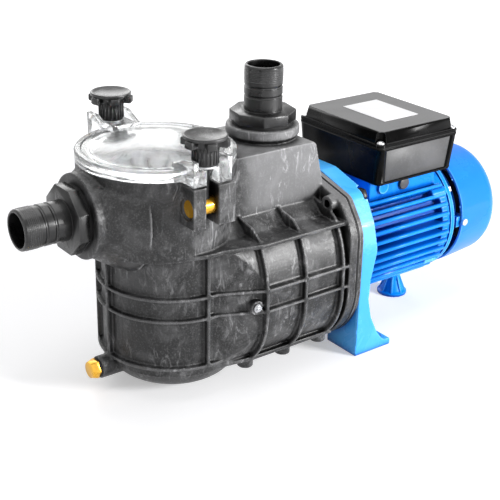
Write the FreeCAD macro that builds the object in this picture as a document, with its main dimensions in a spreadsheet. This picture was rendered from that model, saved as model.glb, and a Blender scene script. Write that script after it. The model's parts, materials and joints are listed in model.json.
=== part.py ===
import FreeCAD, Part
import math
import operator
import os

import Sketcher
from FreeCAD import Rotation, Vector

# A self-priming pool pump with its strainer pot and a fan-cooled motor, in millimetres.
# The origin is on the floor, in the middle of the line through the two foot slots. +X points to the
# fan cover, so the pump end is at negative X, and +Z is up. Reaches count from the origin along X.

SIZES = {
    # Levels: the shaft from the floor, then each level from the one that carries it
    "shaft_height": 102,
    "split_rise": 47,
    "suction_rise": 37,
    "pot_rise": 79,
    "nut_drop": 23.5,
    "ear_below": 17,
    "nose_drop": 97,
    "drain_drop": 76,
    "tower_drop": 2,
    "port_rise": 13.6,
    # Along the shaft, from the bracket's front face to the pump's nose and to the fan cover
    "bracket_reach": 36,
    "barrel_length": 101,
    "eye_wall": 26,
    "nose_step": 46,
    "pot_offset": 17,
    "suction_neck": 14,
    "tower_lead": 11,
    "tower_lap": 7,
    "port_inset": 47,
    # Clearances: for seats that press, for screws and studs, for parts that run, and for faces that pass
    "seat_gap": 0.05,
    "screw_gap": 0.2,
    "film_gap": 0.05,
    "pass_gap": 0.3,
    # Hose tails and their ports
    "tail_radius": 19,
    "tail_wall": 3,
    "tail_length": 45,
    "barb_depth": 0.9,
    "thread_wall": 5,
    "thread_length": 20,
    "gasket_thick": 3,
    "collar_step": 9,
    "collar_thick": 10.5,
    "port_lip": 3.5,
    "boss_lip": 7,
    # Casing
    "nose_radius": 69,
    "nose_wall": 5,
    "nose_round": 32,
    "pot_radius": 71,
    "pot_wall": 8,
    "pot_floor": 4,
    "ledge_width": 3,
    "ledge_depth": 12,
    "rim_width": 8.5,
    "rim_thick": 9,
    "barrel_half": 89,
    "barrel_corner": 66,
    "barrel_wall": 5,
    "crown_drop": 11,
    "rib_rise": 6,
    "rib_thick": 3.5,
    "nose_rib_rise": 5.5,
    "flange_thick": 10,
    "eave_margin": 9.3,
    "eave_rise": 5.3,
    "roof_rise": 14,
    "tower_half": 45,
    "tower_wall": 6,
    "ear_width": 40,
    "ear_margin": 12,
    "ear_lap": 5,
    "slot_width": 13,
    "drain_radius": 7,
    "drain_length": 17,
    # Lid, knobs and basket
    "lid_lip": 0.5,
    "lid_rim": 10,
    "lid_glass": 5,
    "lid_dome": 10,
    "lug_rise": 4,
    "cheek_rise": 8,
    "cheek_thick": 5,
    "knob_step": 5.5,
    "knob_lobe": 10,
    "knob_head": 10,
    "knob_stem": 17,
    "stem_radius": 12,
    "stud_radius": 4,
    "nut_wall": 4,
    "stud_grip": 9,
    "washer_thick": 1.5,
    "ring_inset": 4,
    "ring_thick": 3.4,
    "basket_rim": 3,
    "basket_wall": 2.5,
    "basket_gap": 6,
    "basket_taper": 20,
    "basket_depth": 108,
    "handle_width": 8,
    # Pump internals
    "plate_thick": 5,
    "gasket_sheet": 2,
    "diffuser_gap": 3,
    "diffuser_wall": 4,
    "volute_gap": 11,
    "eye_radius": 18,
    "neck_wall": 3,
    "sleeve_wall": 3,
    "shroud_thick": 3,
    "vane_height": 10,
    "hub_radius": 12,
    "seal_radius": 16,
    "seat_wall": 3,
    "seat_thick": 8,
    "head_thick": 7,
    "bellows_length": 10,
    "nut_length": 7,
    # Shaft and bearings
    "thread_end": 5,
    "pump_shaft": 8,
    "shaft_shoulder": 2,
    "rear_step": 1.5,
    "front_ring": 23.5,
    "front_ring_width": 14,
    "rear_ring": 20,
    "rear_ring_width": 12,
    # Motor
    "bracket_thick": 22,
    "bracket_ledge": 4,
    "bracket_rise": 83,
    "foot_thick": 7,
    "foot_toe": 14,
    "slot_inset": 18,
    "slot_radius": 4.5,
    "slot_travel": 7,
    "bolt_radius": 4,
    "bolt_step": 13.5,
    "housing_length": 134,
    "housing_bore": 52,
    "housing_wall": 6,
    "fin_height": 12,
    "fin_thick": 3.2,
    "fin_count": 40,
    "stator_length": 64,
    "stator_thick": 20,
    "air_gap": 0.5,
    "winding_length": 16,
    "shield_thick": 19,
    "cover_length": 64,
    "cover_inset": 3,
    "cover_sheet": 2.5,
    "cover_round": 18,
    "fan_gap": 10,
    "fan_blades": 7,
    "fan_inset": 10,
    "fan_hub": 13,
    "fan_width": 26,
    "disc_thick": 2.5,
    "blade_width": 22,
    "blade_thick": 3,
    "prop_inset": 15,
    "prop_radius": 17,
    # Terminal box
    "box_gap": 21,
    "box_length": 114,
    "box_half": 65,
    "box_drop": 3.5,
    "saddle_inset": 19,
    "box_depth": 40.8,
    "box_cap": 16.2,
    "box_wall": 3,
    "box_inset": 6,
    "label_long": 65,
    "label_wide": 49,
    "label_thick": 0.3,
    "label_shift": 2.5,
    "plug_radius": 6.6,
    "can_radius": 16,
    "can_length": 68,
    "block_length": 54,
    "block_width": 18,
    "block_height": 14,
    # Small screws: the end shield's, the fan cover's and the terminal box's
    "end_screw": 2.4,
    "end_length": 17,
    "cover_screw": 1.9,
    "lid_screw": 1.7,
    "lid_screw_length": 16,
    "bolt_head": 5.5,
}

# Sizes that follow from those in the sheet.
DERIVED = {
    "nose_bottom": lambda: d.shaft_height - d.nose_drop,
    "drain_height": lambda: d.shaft_height - d.drain_drop,
    "split_height": lambda: d.shaft_height + d.split_rise,
    "suction_height": lambda: d.split_height + d.suction_rise,
    "lid_seat": lambda: d.split_height + d.pot_rise,
    "nut_height": lambda: d.lid_seat - d.nut_drop,
    "ear_bottom": lambda: d.nut_height - d.ear_below,
    "tower_top": lambda: d.lid_seat - d.tower_drop,
    "port_top": lambda: d.tower_top + d.port_rise,
    "casing_face": lambda: d.bracket_reach + d.plate_thick + d.gasket_sheet,
    "flange_start": lambda: d.casing_face + d.flange_thick,
    "barrel_front": lambda: d.flange_start + d.barrel_length,
    "chamber_front": lambda: d.barrel_front - d.eye_wall,
    "nose_reach": lambda: d.barrel_front + d.nose_step,
    "pot_reach": lambda: d.nose_reach + d.pot_offset,
    "lug_reach": lambda: d.pot_reach,
    "suction_reach": lambda: d.pot_reach + d.pot_radius + d.suction_neck,
    "drain_reach": lambda: d.nose_reach + d.nose_radius + d.drain_length,
    "tower_front": lambda: d.barrel_front + d.tower_lead,
    "tower_rear": lambda: d.flange_start - d.tower_lap,
    "port_reach": lambda: d.tower_rear + d.port_inset,
    "tail_bore": lambda: d.tail_radius - d.tail_wall,
    "thread_radius": lambda: d.tail_radius + d.thread_wall,
    "collar_radius": lambda: d.thread_radius + d.collar_step,
    "port_radius": lambda: d.collar_radius + d.port_lip,
    "boss_radius": lambda: d.collar_radius + d.boss_lip,
    "pot_bore": lambda: d.pot_radius - d.pot_wall,
    "rim_bore": lambda: d.pot_bore + d.ledge_width,
    "rim_radius": lambda: d.rim_bore + d.rim_width,
    "lid_radius": lambda: d.rim_radius + d.lid_lip,
    "ring_radius": lambda: d.rim_bore + d.ring_inset,
    "crown_radius": lambda: d.barrel_half - d.crown_drop,
    "knob_spread": lambda: d.rim_radius + d.knob_step,
    "ear_tip": lambda: d.knob_spread + d.ear_margin,
    "knob_radius": lambda: d.stem_radius + d.knob_lobe,
    "nut_radius": lambda: d.stud_radius + d.nut_wall,
    "basket_top": lambda: d.pot_bore - d.basket_gap,
    "basket_foot": lambda: d.basket_top - d.basket_taper,
    "diffuser_radius": lambda: d.crown_radius - d.barrel_wall - d.diffuser_gap,
    "impeller_radius": lambda: d.diffuser_radius - d.diffuser_wall - d.volute_gap,
    "neck_radius": lambda: d.eye_radius + d.neck_wall,
    "sleeve_radius": lambda: d.neck_radius + d.sleeve_wall,
    "seat_radius": lambda: d.seal_radius + d.seat_wall,
    "seal_face": lambda: d.bracket_reach + d.plate_thick + d.seat_thick,
    "impeller_back": lambda: d.seal_face + d.head_thick + d.bellows_length,
    "impeller_front": lambda: d.impeller_back + d.vane_height + 2 * d.shroud_thick,
    "motor_shaft": lambda: d.pump_shaft + d.shaft_shoulder,
    "rear_shaft": lambda: d.motor_shaft - d.rear_step,
    "bracket_rear": lambda: d.bracket_reach - d.bracket_thick,
    "bracket_half": lambda: d.barrel_half + d.bracket_ledge,
    "bracket_top": lambda: d.shaft_height + d.bracket_rise,
    "bolt_spread": lambda: d.bracket_half - d.slot_inset,
    "bolt_circle": lambda: d.crown_radius + d.bolt_step,
    "housing_end": lambda: d.housing_length - d.bracket_rear,
    "fin_root": lambda: d.housing_bore + d.housing_wall,
    "fin_radius": lambda: d.fin_root + d.fin_height,
    "stator_bore": lambda: d.housing_bore - d.stator_thick,
    "cover_start": lambda: d.housing_end + d.shield_thick,
    "cover_end": lambda: d.cover_start + d.cover_length,
    "cover_radius": lambda: d.fin_radius - d.cover_inset,
    "fan_radius": lambda: d.cover_radius - d.fan_gap,
    "prop_reach": lambda: d.housing_end - d.prop_inset,
    "box_start": lambda: d.box_gap - d.bracket_rear,
    "box_end": lambda: d.box_start + d.box_length,
    "box_floor": lambda: d.shaft_height + d.fin_radius - d.box_drop,
    "box_split": lambda: d.box_floor + d.box_depth,
    "box_top": lambda: d.box_split + d.box_cap,
    "knob_seat": lambda: d.lid_seat + d.lid_rim + d.lug_rise,
}

doc = FreeCAD.newDocument("PoolPump")
sheet = doc.addObject("Spreadsheet::Sheet", "Sizes")
for row, (alias, value) in enumerate(SIZES.items(), 1):
    sheet.set(f"A{row}", alias)
    sheet.set(f"B{row}", str(value))
    sheet.setAlias(f"B{row}", alias)
doc.recompute()


# A length that carries both its number and the sheet formula that it comes from.
class Size:
    def __init__(self, number, formula):
        self.number = float(number)
        self.formula = formula

    def join(self, other, symbol, action, swap=False):
        other = as_size(other)
        first, second = (other, self) if swap else (self, other)
        number = action(first.number, second.number)
        return Size(number, f"({first.formula} {symbol} {second.formula})")

    def __add__(self, other):
        return self.join(other, "+", operator.add)

    def __radd__(self, other):
        return self.join(other, "+", operator.add, True)

    def __sub__(self, other):
        return self.join(other, "-", operator.sub)

    def __rsub__(self, other):
        return self.join(other, "-", operator.sub, True)

    def __mul__(self, other):
        return self.join(other, "*", operator.mul)

    def __rmul__(self, other):
        return self.join(other, "*", operator.mul, True)

    def __truediv__(self, other):
        return self.join(other, "/", operator.truediv)

    def __neg__(self):
        return Size(-self.number, f"(-{self.formula})")


def as_size(value):
    if isinstance(value, Size):
        return value
    return Size(value, f"({value:.6f})")


class Sheet:
    def __getattr__(self, name):
        if name in DERIVED:
            return DERIVED[name]()
        return Size(sheet.get(name), f"Sizes.{name}")


d = Sheet()

# Frames of a sub-part: the local Z runs along the named axis. In "X" the local X is +Y and the local Y
# is +Z, so that an outline drawn in it is seen from the front of the pump's axis.
FRAMES = {
    "Z": Rotation(),
    "-Z": Rotation(Vector(1, 0, 0), Vector(0, -1, 0), Vector(0, 0, -1), "ZXY"),
    "X": Rotation(Vector(0, 1, 0), Vector(0, 0, 1), Vector(1, 0, 0), "ZXY"),
    "-X": Rotation(Vector(0, -1, 0), Vector(0, 0, 1), Vector(-1, 0, 0), "ZXY"),
    "Y": Rotation(Vector(-1, 0, 0), Vector(0, 0, 1), Vector(0, 1, 0), "ZXY"),
    "-Y": Rotation(Vector(1, 0, 0), Vector(0, 0, 1), Vector(0, -1, 0), "ZXY"),
}


def bind(thing, path, size):
    size = as_size(size)
    if "Sizes." in size.formula:
        thing.setExpression(path, size.formula)
    else:
        setattr(thing, path, size.number)


def place(thing, at=(0, 0, 0), axis="Z", spin=0):
    base = [as_size(value) for value in at]
    turn = FRAMES[axis].multiply(Rotation(Vector(0, 0, 1), spin))
    thing.Placement = FreeCAD.Placement(Vector(*[value.number for value in base]), turn)
    for letter, value in zip("xyz", base):
        if "Sizes." in value.formula:
            thing.setExpression(f"Placement.Base.{letter}", value.formula)
    return thing


def polar(radius, angle):
    return radius * math.cos(math.radians(angle)), radius * math.sin(math.radians(angle))


def cylinder(name, radius, length, at=(0, 0, 0), axis="Z"):
    solid = doc.addObject("Part::Cylinder", name)
    bind(solid, "Radius", radius)
    bind(solid, "Height", length)
    return place(solid, at, axis)


def cone(name, low_radius, high_radius, length, at=(0, 0, 0), axis="Z"):
    solid = doc.addObject("Part::Cone", name)
    bind(solid, "Radius1", low_radius)
    bind(solid, "Radius2", high_radius)
    bind(solid, "Height", length)
    return place(solid, at, axis)


# A block from its lowest corner to its highest corner.
def block(name, low, high):
    solid = doc.addObject("Part::Box", name)
    for path, start, end in zip(("Length", "Width", "Height"), low, high):
        bind(solid, path, as_size(end) - start)
    return place(solid, low)


# A bar through an axis: it stands radially from inner to outer radius at an angle round that axis.
def bar(name, inner, outer, width, length, at, axis, angle):
    solid = doc.addObject("Part::Box", name)
    bind(solid, "Length", as_size(outer) - inner)
    bind(solid, "Width", width)
    bind(solid, "Height", length)
    turn = Rotation(Vector(0, 0, 1), angle)
    local_x = FRAMES[axis].multiply(turn).multVec(Vector(1, 0, 0))
    local_y = FRAMES[axis].multiply(turn).multVec(Vector(0, 1, 0))
    corner = []
    for index, start in enumerate(at):
        along = as_size(inner) * local_x[index]
        across = as_size(width) * (local_y[index] / 2)
        corner.append(as_size(start) + along - across)
    return place(solid, corner, axis, angle)


def prism(name, sides, radius, length, at=(0, 0, 0), axis="Z", spin=0):
    solid = doc.addObject("Part::Prism", name)
    solid.Polygon = sides
    bind(solid, "Circumradius", radius)
    bind(solid, "Height", length)
    return place(solid, at, axis, spin)


def torus(name, radius, thick, at=(0, 0, 0), axis="Z"):
    solid = doc.addObject("Part::Torus", name)
    bind(solid, "Radius1", radius)
    bind(solid, "Radius2", thick)
    return place(solid, at, axis)


def sphere(name, radius, at=(0, 0, 0)):
    solid = doc.addObject("Part::Sphere", name)
    bind(solid, "Radius", radius)
    return place(solid, at)


def fuse(name, solids):
    result = doc.addObject("Part::MultiFuse", name)
    result.Shapes = solids
    result.Refine = True
    return result


def cut(name, base, tools):
    result = doc.addObject("Part::Cut", name)
    result.Base = base
    result.Tool = tools[0] if len(tools) == 1 else fuse(f"{name}_tools", tools)
    result.Refine = True
    return result


def common(name, solids):
    result = doc.addObject("Part::MultiCommon", name)
    result.Shapes = solids
    result.Refine = True
    return result


def group(name, solids):
    result = doc.addObject("Part::Compound", name)
    result.Links = solids
    return result


def tube(name, outer, inner, length, at=(0, 0, 0), axis="Z"):
    wall = cylinder(f"{name}_outer", outer, length, at, axis)
    hole = cylinder(f"{name}_inner", inner, length, at, axis)
    return cut(name, wall, [hole])


# A closed outline in a body's own plane, each corner held by two dimensions from the plane's origin.
def outline(body, plane, corners):
    sketch = body.newObject("Sketcher::SketchObject", f"{body.Name}_outline")
    planes = {feature.Role: feature for feature in body.Origin.OriginFeatures}
    sketch.AttachmentSupport = [(planes[plane], "")]
    sketch.MapMode = "FlatFace"
    corners = [(as_size(across), as_size(up)) for across, up in corners]
    points = [Vector(across.number, up.number, 0) for across, up in corners]
    for start, end in zip(points, points[1:] + points[:1]):
        sketch.addGeometry(Part.LineSegment(start, end))
    for index, corner in enumerate(corners):
        following = (index + 1) % len(corners)
        sketch.addConstraint(Sketcher.Constraint("Coincident", index, 2, following, 1))
        for kind, size in zip(("DistanceX", "DistanceY"), corner):
            constraint = sketch.addConstraint(Sketcher.Constraint(kind, index, 1, size.number))
            if "Sizes." in size.formula:
                sketch.setExpression(f"Constraints[{constraint}]", size.formula)
    return sketch


# Rounds the straight edges along the local Z at the named corners of a padded outline.
def round_corners(body, feature, rounds):
    for number, (radius, corners) in enumerate(rounds):
        doc.recompute()
        places = [(as_size(across).number, as_size(up).number) for across, up in corners]
        names = []
        for index, edge in enumerate(feature.Shape.Edges, 1):
            centre = edge.CenterOfMass
            upright = edge.BoundBox.XLength < 1e-6 and edge.BoundBox.YLength < 1e-6
            if upright and any(math.dist((centre.x, centre.y), spot) < 1e-3 for spot in places):
                names.append(f"Edge{index}")
        fillet = body.newObject("PartDesign::Fillet", f"{body.Name}_round{number}")
        fillet.Base = (feature, names)
        bind(fillet, "Radius", radius)
        feature = fillet
    return feature


# Rounds the circles of a turned or padded shape that have the given radius and local height.
def round_circles(body, feature, rounds):
    for number, (radius, circles) in enumerate(rounds):
        doc.recompute()
        places = [(as_size(reach).number, as_size(up).number) for reach, up in circles]
        names = []
        for index, edge in enumerate(feature.Shape.Edges, 1):
            if not isinstance(edge.Curve, Part.Circle):
                continue
            mark = (edge.Curve.Radius, edge.Curve.Center.z)
            if any(math.dist(mark, spot) < 1e-3 for spot in places):
                names.append(f"Edge{index}")
        fillet = body.newObject("PartDesign::Fillet", f"{body.Name}_round{number}")
        fillet.Base = (feature, names)
        bind(fillet, "Radius", radius)
        feature = fillet
    return feature


# A shape turned about the local Z from (radius, height) corners.
def turned(name, profile, at=(0, 0, 0), axis="Z", rounds=()):
    body = doc.addObject("PartDesign::Body", name)
    sketch = outline(body, "XZ_Plane", profile)
    revolution = body.newObject("PartDesign::Revolution", f"{name}_turn")
    revolution.Profile = sketch
    revolution.ReferenceAxis = (sketch, ["V_Axis"])
    revolution.Angle = 360
    round_circles(body, revolution, rounds)
    return place(body, at, axis)


# A shape padded along the local Z from (x, y) corners.
def padded(name, corners, length, at=(0, 0, 0), axis="Z", rounds=()):
    body = doc.addObject("PartDesign::Body", name)
    pad = body.newObject("PartDesign::Pad", f"{name}_pad")
    pad.Profile = outline(body, "XY_Plane", corners)
    bind(pad, "Length", length)
    round_corners(body, pad, rounds)
    return place(body, at, axis)


def mirrored(corners):
    return corners + [(-as_size(across), up) for across, up in reversed(corners)]


# A square block along the shaft with rounded corners, centred on the shaft.
def rounded_block(name, half, corner, start, length):
    square = [(half, half), (half, -half), (-half, -half), (-half, half)]
    at = (start, 0, d.shaft_height)
    return padded(name, square, length, at, "X", [(corner, square)])


sub_parts = {}


def keep(node, thing):
    thing.Label = node
    sub_parts[node] = thing
    return thing


SIDES = {"left": -1, "right": 1}
EXTREME = 400


# The pump chamber's cross-section: squarish below the shaft, round above it, and flatter under the tower.
def chamber(name, half, corner, crown, split, front, length):
    low = rounded_block(f"{name}_square", half, corner, -front, length)
    below = block(f"{name}_below", (-EXTREME, -EXTREME, 0), (EXTREME, EXTREME, d.shaft_height))
    round_part = cylinder(f"{name}_drum", half, length, (-front, 0, d.shaft_height), "X")
    between = block(f"{name}_between", (-EXTREME, -EXTREME, d.shaft_height - 1), (EXTREME, EXTREME, split))
    return [
        common(f"{name}_low", [low, below]),
        common(f"{name}_mid", [round_part, between]),
        cylinder(f"{name}_crown", crown, length, (-front, 0, d.shaft_height), "X"),
    ]


def casing_shell():
    nose = turned(
        "casing_nose",
        [
            (0, d.nose_bottom),
            (d.nose_radius, d.nose_bottom),
            (d.nose_radius, d.split_height + d.rib_thick),
            (0, d.split_height + d.rib_thick),
        ],
        (-d.nose_reach, 0, 0),
        rounds=[(d.nose_round, [(d.nose_radius, d.nose_bottom)])],
    )
    length = d.barrel_front - d.flange_start
    barrel = chamber(
        "barrel",
        d.barrel_half,
        d.barrel_corner,
        d.crown_radius,
        d.split_height,
        d.barrel_front,
        length,
    )
    # Between nose and barrel the side walls spread, and the barrel's section trims them above and below.
    spread = [
        (-d.nose_reach, d.nose_radius),
        (-d.barrel_front, d.barrel_half),
        (-d.barrel_front + 1, d.barrel_half),
        (-d.barrel_front + 1, -d.barrel_half),
        (-d.barrel_front, -d.barrel_half),
        (-d.nose_reach, -d.nose_radius),
    ]
    walls = padded("spread_walls", spread, 2 * d.shaft_height)
    length = d.nose_reach - d.barrel_front + 1
    trim = fuse(
        "spread_trim",
        chamber(
            "trim",
            d.barrel_half,
            d.barrel_corner,
            d.crown_radius,
            d.split_height,
            d.nose_reach,
            length,
        ),
    )
    return [nose] + barrel + [common("casing_spread", [walls, trim])]


def casing_ribs():
    half = d.barrel_half + d.rib_rise
    length = d.barrel_front + 2 * d.rib_thick - d.flange_start
    start = -d.barrel_front - d.rib_thick / 2
    square = rounded_block("hoop_square", half, d.barrel_corner + d.rib_rise, start, length)
    below = block("hoop_below", (-EXTREME, -EXTREME, 0), (EXTREME, EXTREME, d.shaft_height))
    drum = cylinder("hoop_drum", half, length, (start, 0, d.shaft_height), "X")
    between = block(
        "hoop_between", (-EXTREME, -EXTREME, d.shaft_height - 1), (EXTREME, EXTREME, d.split_height)
    )
    shoulder = [
        (half * 0.87, d.split_height - 2),
        (half * 0.84, d.split_height + 6),
        (half * 0.72, d.split_height + 14),
        (d.tower_half, d.split_height + 19),
    ]
    gusset = padded("hoop_gusset", mirrored(shoulder), length, (start, 0, 0), "X")
    low_hoops = common("hoop_low", [square, below])
    mid_hoops = common("hoop_mid", [drum, between])
    hoops = fuse("hoop_stock", [low_hoops, mid_hoops, gusset])
    pitch = (d.barrel_front - d.flange_start) * 0.465
    slabs = []
    bosses = []
    for index in range(3):
        place_x = -d.barrel_front + pitch * index
        low = (place_x - d.rib_thick / 2, -EXTREME, 0)
        slabs.append(block(f"hoop_slab{index}", low, (place_x + d.rib_thick / 2, EXTREME, EXTREME)))
        for side in (-1, 1):
            at = (place_x, side * (d.barrel_half - 29), d.shaft_height - d.barrel_half + 1)
            bosses.append(cylinder(f"belly_boss{index}{side + 1}", 8, 18, at))
    ribs = [common("hoops", [hoops, fuse("hoop_slabs", slabs)])] + bosses
    # Level ribs run round the nose and along both sides to the flange.
    nose_edge = d.nose_radius + d.nose_rib_rise
    levels = [
        (d.split_height, d.pot_floor, nose_edge + 1.5, half * 0.905),
        (d.shaft_height + 5, 3, nose_edge, half),
        (d.shaft_height - 17, 3, nose_edge, half - 0.5),
        (d.shaft_height - d.barrel_half + 12, 4, nose_edge - 7, half * 0.77),
    ]
    for index, (height, thick, nose_out, side_out) in enumerate(levels):
        start = (-d.nose_reach, 0, height)
        ribs.append(cylinder(f"level_disc{index}", nose_out, thick, start))
        nose_side = nose_out * 0.98
        ramp = [
            (-d.nose_reach, nose_side),
            (-d.barrel_front, side_out),
            (-d.flange_start, side_out),
            (-d.flange_start, -side_out),
            (-d.barrel_front, -side_out),
            (-d.nose_reach, -nose_side),
        ]
        ribs.append(padded(f"level_plate{index}", ramp, thick, (0, 0, height)))
    low = d.nose_bottom + d.nose_round - 2
    ribs.append(cylinder("level_skirt", nose_edge, 3, (-d.nose_reach, 0, low)))
    for angle in (180, 148, 96, -96):
        at = (-d.nose_reach, 0, low)
        rise = d.split_height - low
        ribs.append(bar(f"nose_rib{angle}", d.nose_radius - 8, nose_edge, d.rib_thick, rise, at, "Z", angle))
    return ribs


def casing_pot():
    depth = 12
    pot = cylinder("pot_wall", d.pot_radius, d.lid_seat - d.split_height, (-d.pot_reach, 0, d.split_height))
    rim_start = d.lid_seat - d.rim_thick
    rim = cylinder("pot_rim", d.rim_radius, d.rim_thick, (-d.pot_reach, 0, rim_start))
    neck = cone(
        "pot_neck", d.pot_radius, d.rim_radius, depth, (-d.pot_reach, 0, rim_start - depth)
    )
    length = d.suction_reach - d.pot_reach - d.pot_radius / 2
    at = (-d.suction_reach, 0, d.suction_height)
    boss = cylinder("suction_boss", d.boss_radius, length, at, "X")
    flare_at = (-d.pot_reach - d.pot_radius - 6, 0, d.suction_height)
    flare = cone("suction_flare", d.boss_radius, d.boss_radius + 22, 34, flare_at, "X")
    below_rim = block("flare_room", (-EXTREME, -EXTREME, 0), (0, EXTREME, rim_start - 1))
    pieces = [pot, rim, neck, boss, common("suction_root", [flare, below_rim])]
    for name, side in SIDES.items():
        ear = block(
            f"{name}_ears",
            (-d.lug_reach - d.ear_width / 2, 0, d.ear_bottom),
            (-d.lug_reach + d.ear_width / 2 + d.ear_lap, d.ear_tip, d.lid_seat - 2),
        )
        if side < 0:
            ear = place_mirrored(f"{name}_ears_flip", ear)
        pieces.append(ear)
    return pieces


# The mirror image of a shape across the plane through the shaft.
def place_mirrored(name, thing):
    result = doc.addObject("Part::Mirroring", name)
    result.Source = thing
    result.Normal = Vector(0, 1, 0)
    result.Base = Vector(0, 0, 0)
    return result


def casing_tower():
    foot = d.split_height + 16
    lean = 15
    side = [
        (-d.tower_front, foot),
        (-d.tower_rear, foot),
        (-d.tower_rear - lean, d.tower_top),
        (-d.tower_front, d.tower_top),
    ]
    corner = [side[2]]
    tower = padded(
        "tower_block",
        side,
        2 * d.tower_half,
        (0, d.tower_half, 0),
        "-Y",
        [(6, corner)],
    )
    port = turned(
        "port_collar",
        [
            (0, foot),
            (d.port_radius - 6, foot),
            (d.port_radius - 3, d.tower_top + 1),
            (d.port_radius, d.tower_top + 5),
            (d.port_radius, d.port_top - 1.5),
            (d.port_radius - 1.5, d.port_top),
            (0, d.port_top),
        ],
        (-d.port_reach, 0, 0),
    )
    return [tower, port]


def bolt_spots():
    spots = []
    for angle in (45, 135, 225, 315):
        across, up = polar(d.bolt_circle, angle)
        spots.append((across, d.shaft_height + up))
    return spots


def casing_bosses():
    drain = cylinder(
        "drain_boss",
        d.drain_radius + 4,
        d.drain_reach - d.nose_reach - 50,
        (-d.drain_reach, 0, d.drain_height),
        "X",
    )
    screw = cylinder("screw_boss", 7, 22, screw_place(-2), "Y")
    bosses = [drain, screw]
    for index, (across, up) in enumerate(bolt_spots()):
        at = (-d.flange_start - 8, across, up)
        bosses.append(cylinder(f"bolt_boss{index}", d.bolt_radius + 4, 9, at, "X"))
    return bosses


def screw_place(depth):
    return (-d.barrel_front - 10, -d.barrel_half + depth, d.shaft_height - 9.5)


def casing_hollows():
    hollows = []
    basket_floor = d.lid_seat - d.ledge_depth
    hollows.append(cylinder("rim_bore", d.rim_bore, d.ledge_depth, (-d.pot_reach, 0, basket_floor)))
    pot_floor = d.split_height + d.pot_floor
    hollows.append(
        cylinder("pot_bore", d.pot_bore, basket_floor - pot_floor, (-d.pot_reach, 0, pot_floor))
    )
    inner = d.nose_radius - d.nose_wall
    # The pot is set forward of the nose. A floor closes the step, and is open where both bores meet.
    below = d.split_height - 1
    depth = d.pot_floor + 2
    lip = 0.5
    nose_side = cylinder("floor_nose", inner - lip, depth, (-d.nose_reach, 0, below))
    pot_side = cylinder("floor_pot", d.pot_bore - lip, depth, (-d.pot_reach, 0, below))
    hollows.append(common("floor_way", [nose_side, pot_side]))
    hollows.append(
        turned(
            "nose_bore",
            [
                (0, d.nose_bottom + d.nose_wall),
                (inner, d.nose_bottom + d.nose_wall),
                (inner, d.split_height),
                (0, d.split_height),
            ],
            (-d.nose_reach, 0, 0),
            rounds=[(d.nose_round - d.nose_wall, [(inner, d.nose_bottom + d.nose_wall)])],
        )
    )
    thin = d.barrel_wall
    hollows += chamber(
        "hollow",
        d.barrel_half - thin,
        d.barrel_corner - thin,
        d.crown_radius - thin,
        d.split_height - thin,
        d.chamber_front,
        d.chamber_front - d.flange_start - 16,
    )
    face = d.casing_face
    hollows.append(
        cylinder(
            "chamber_bore",
            d.crown_radius - thin,
            d.chamber_front - face,
            (-d.chamber_front, 0, d.shaft_height),
            "X",
        )
    )
    wall = d.tower_wall
    hollows.append(
        block(
            "tower_bore",
            (-d.chamber_front, -d.tower_half + wall, d.shaft_height),
            (-d.tower_rear - 13 - wall, d.tower_half - wall, d.tower_top - wall),
        )
    )
    socket = d.thread_length + 2
    thread_bore = d.thread_radius + d.seat_gap
    port = (-d.port_reach, 0, d.port_top - socket)
    hollows.append(cylinder("port_bore", thread_bore, socket, port))
    suction = (-d.suction_reach, 0, d.suction_height)
    hollows.append(cylinder("suction_bore", thread_bore, socket, suction, "X"))
    hollows.append(
        cylinder("suction_way", d.tail_bore + 3, d.suction_reach - d.pot_reach, suction, "X")
    )
    sleeve = (-d.nose_reach + inner - 6, 0, d.shaft_height)
    hollows.append(
        cylinder("eye_way", d.sleeve_radius + d.seat_gap, d.nose_reach - inner + 8, sleeve, "X")
    )
    drain = (-d.drain_reach, 0, d.drain_height)
    hollows.append(cylinder("drain_bore", d.drain_radius + d.screw_gap, 30, drain, "X"))
    hollows.append(cylinder("screw_hole", 3, 14, screw_place(-2), "Y"))
    groove = tube(
        "ring_groove",
        d.ring_radius + d.ring_thick / 2 + 0.2,
        d.ring_radius - d.ring_thick / 2 - 0.2,
        d.ring_thick + 0.2,
        (-d.pot_reach, 0, d.lid_seat - d.ring_thick - 0.2),
    )
    hollows.append(groove)
    for name, side in SIDES.items():
        slot = block(
            f"{name}_fork_slot",
            (-d.lug_reach - d.slot_width / 2, d.knob_spread - 9, d.ear_bottom - 1),
            (-d.lug_reach + d.slot_width / 2, d.ear_tip + 1, d.lid_seat),
        )
        pin = cylinder(
            f"{name}_pin_hole",
            d.nut_radius + d.seat_gap,
            d.ear_width + 2,
            (-d.lug_reach - d.ear_width / 2 - 1, d.knob_spread, d.nut_height),
            "X",
        )
        recess = cylinder(
            f"{name}_pin_recess",
            d.nut_radius + 2.5,
            4,
            (-d.lug_reach - d.ear_width / 2 - 1, d.knob_spread, d.nut_height),
            "X",
        )
        for hole in (slot, pin, recess):
            hollows.append(hole if side > 0 else place_mirrored(f"{hole.Name}_flip", hole))
    for index, (across, up) in enumerate(bolt_spots()):
        at = (-d.flange_start - 8, across, up)
        length = d.flange_start - face + 8
        hollows.append(cylinder(f"bolt_bore{index}", d.bolt_radius + d.seat_gap, length, at, "X"))
    return hollows


def build_casing():
    shell = fuse(
        "casing_solid",
        casing_shell()
        + casing_ribs()
        + casing_pot()
        + casing_tower()
        + casing_bosses()
        + [joint_outline("casing_flange", -d.flange_start, d.flange_thick)],
    )
    casing = cut("casing", shell, casing_hollows())
    # The chamber and the pot are bonded along a flat joint through the wall of the impeller's eye.
    joint = -d.chamber_front - d.eye_wall / 4
    rear_room = block("rear_room", (joint, -EXTREME, -EXTREME), (0, EXTREME, EXTREME))
    front_room = block("front_room", (-EXTREME, -EXTREME, -EXTREME), (joint, EXTREME, EXTREME))
    keep("pump_body", common("pump_body", [casing, rear_room]))
    keep("strainer_pot", common("strainer_pot", [casing, front_room]))


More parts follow.
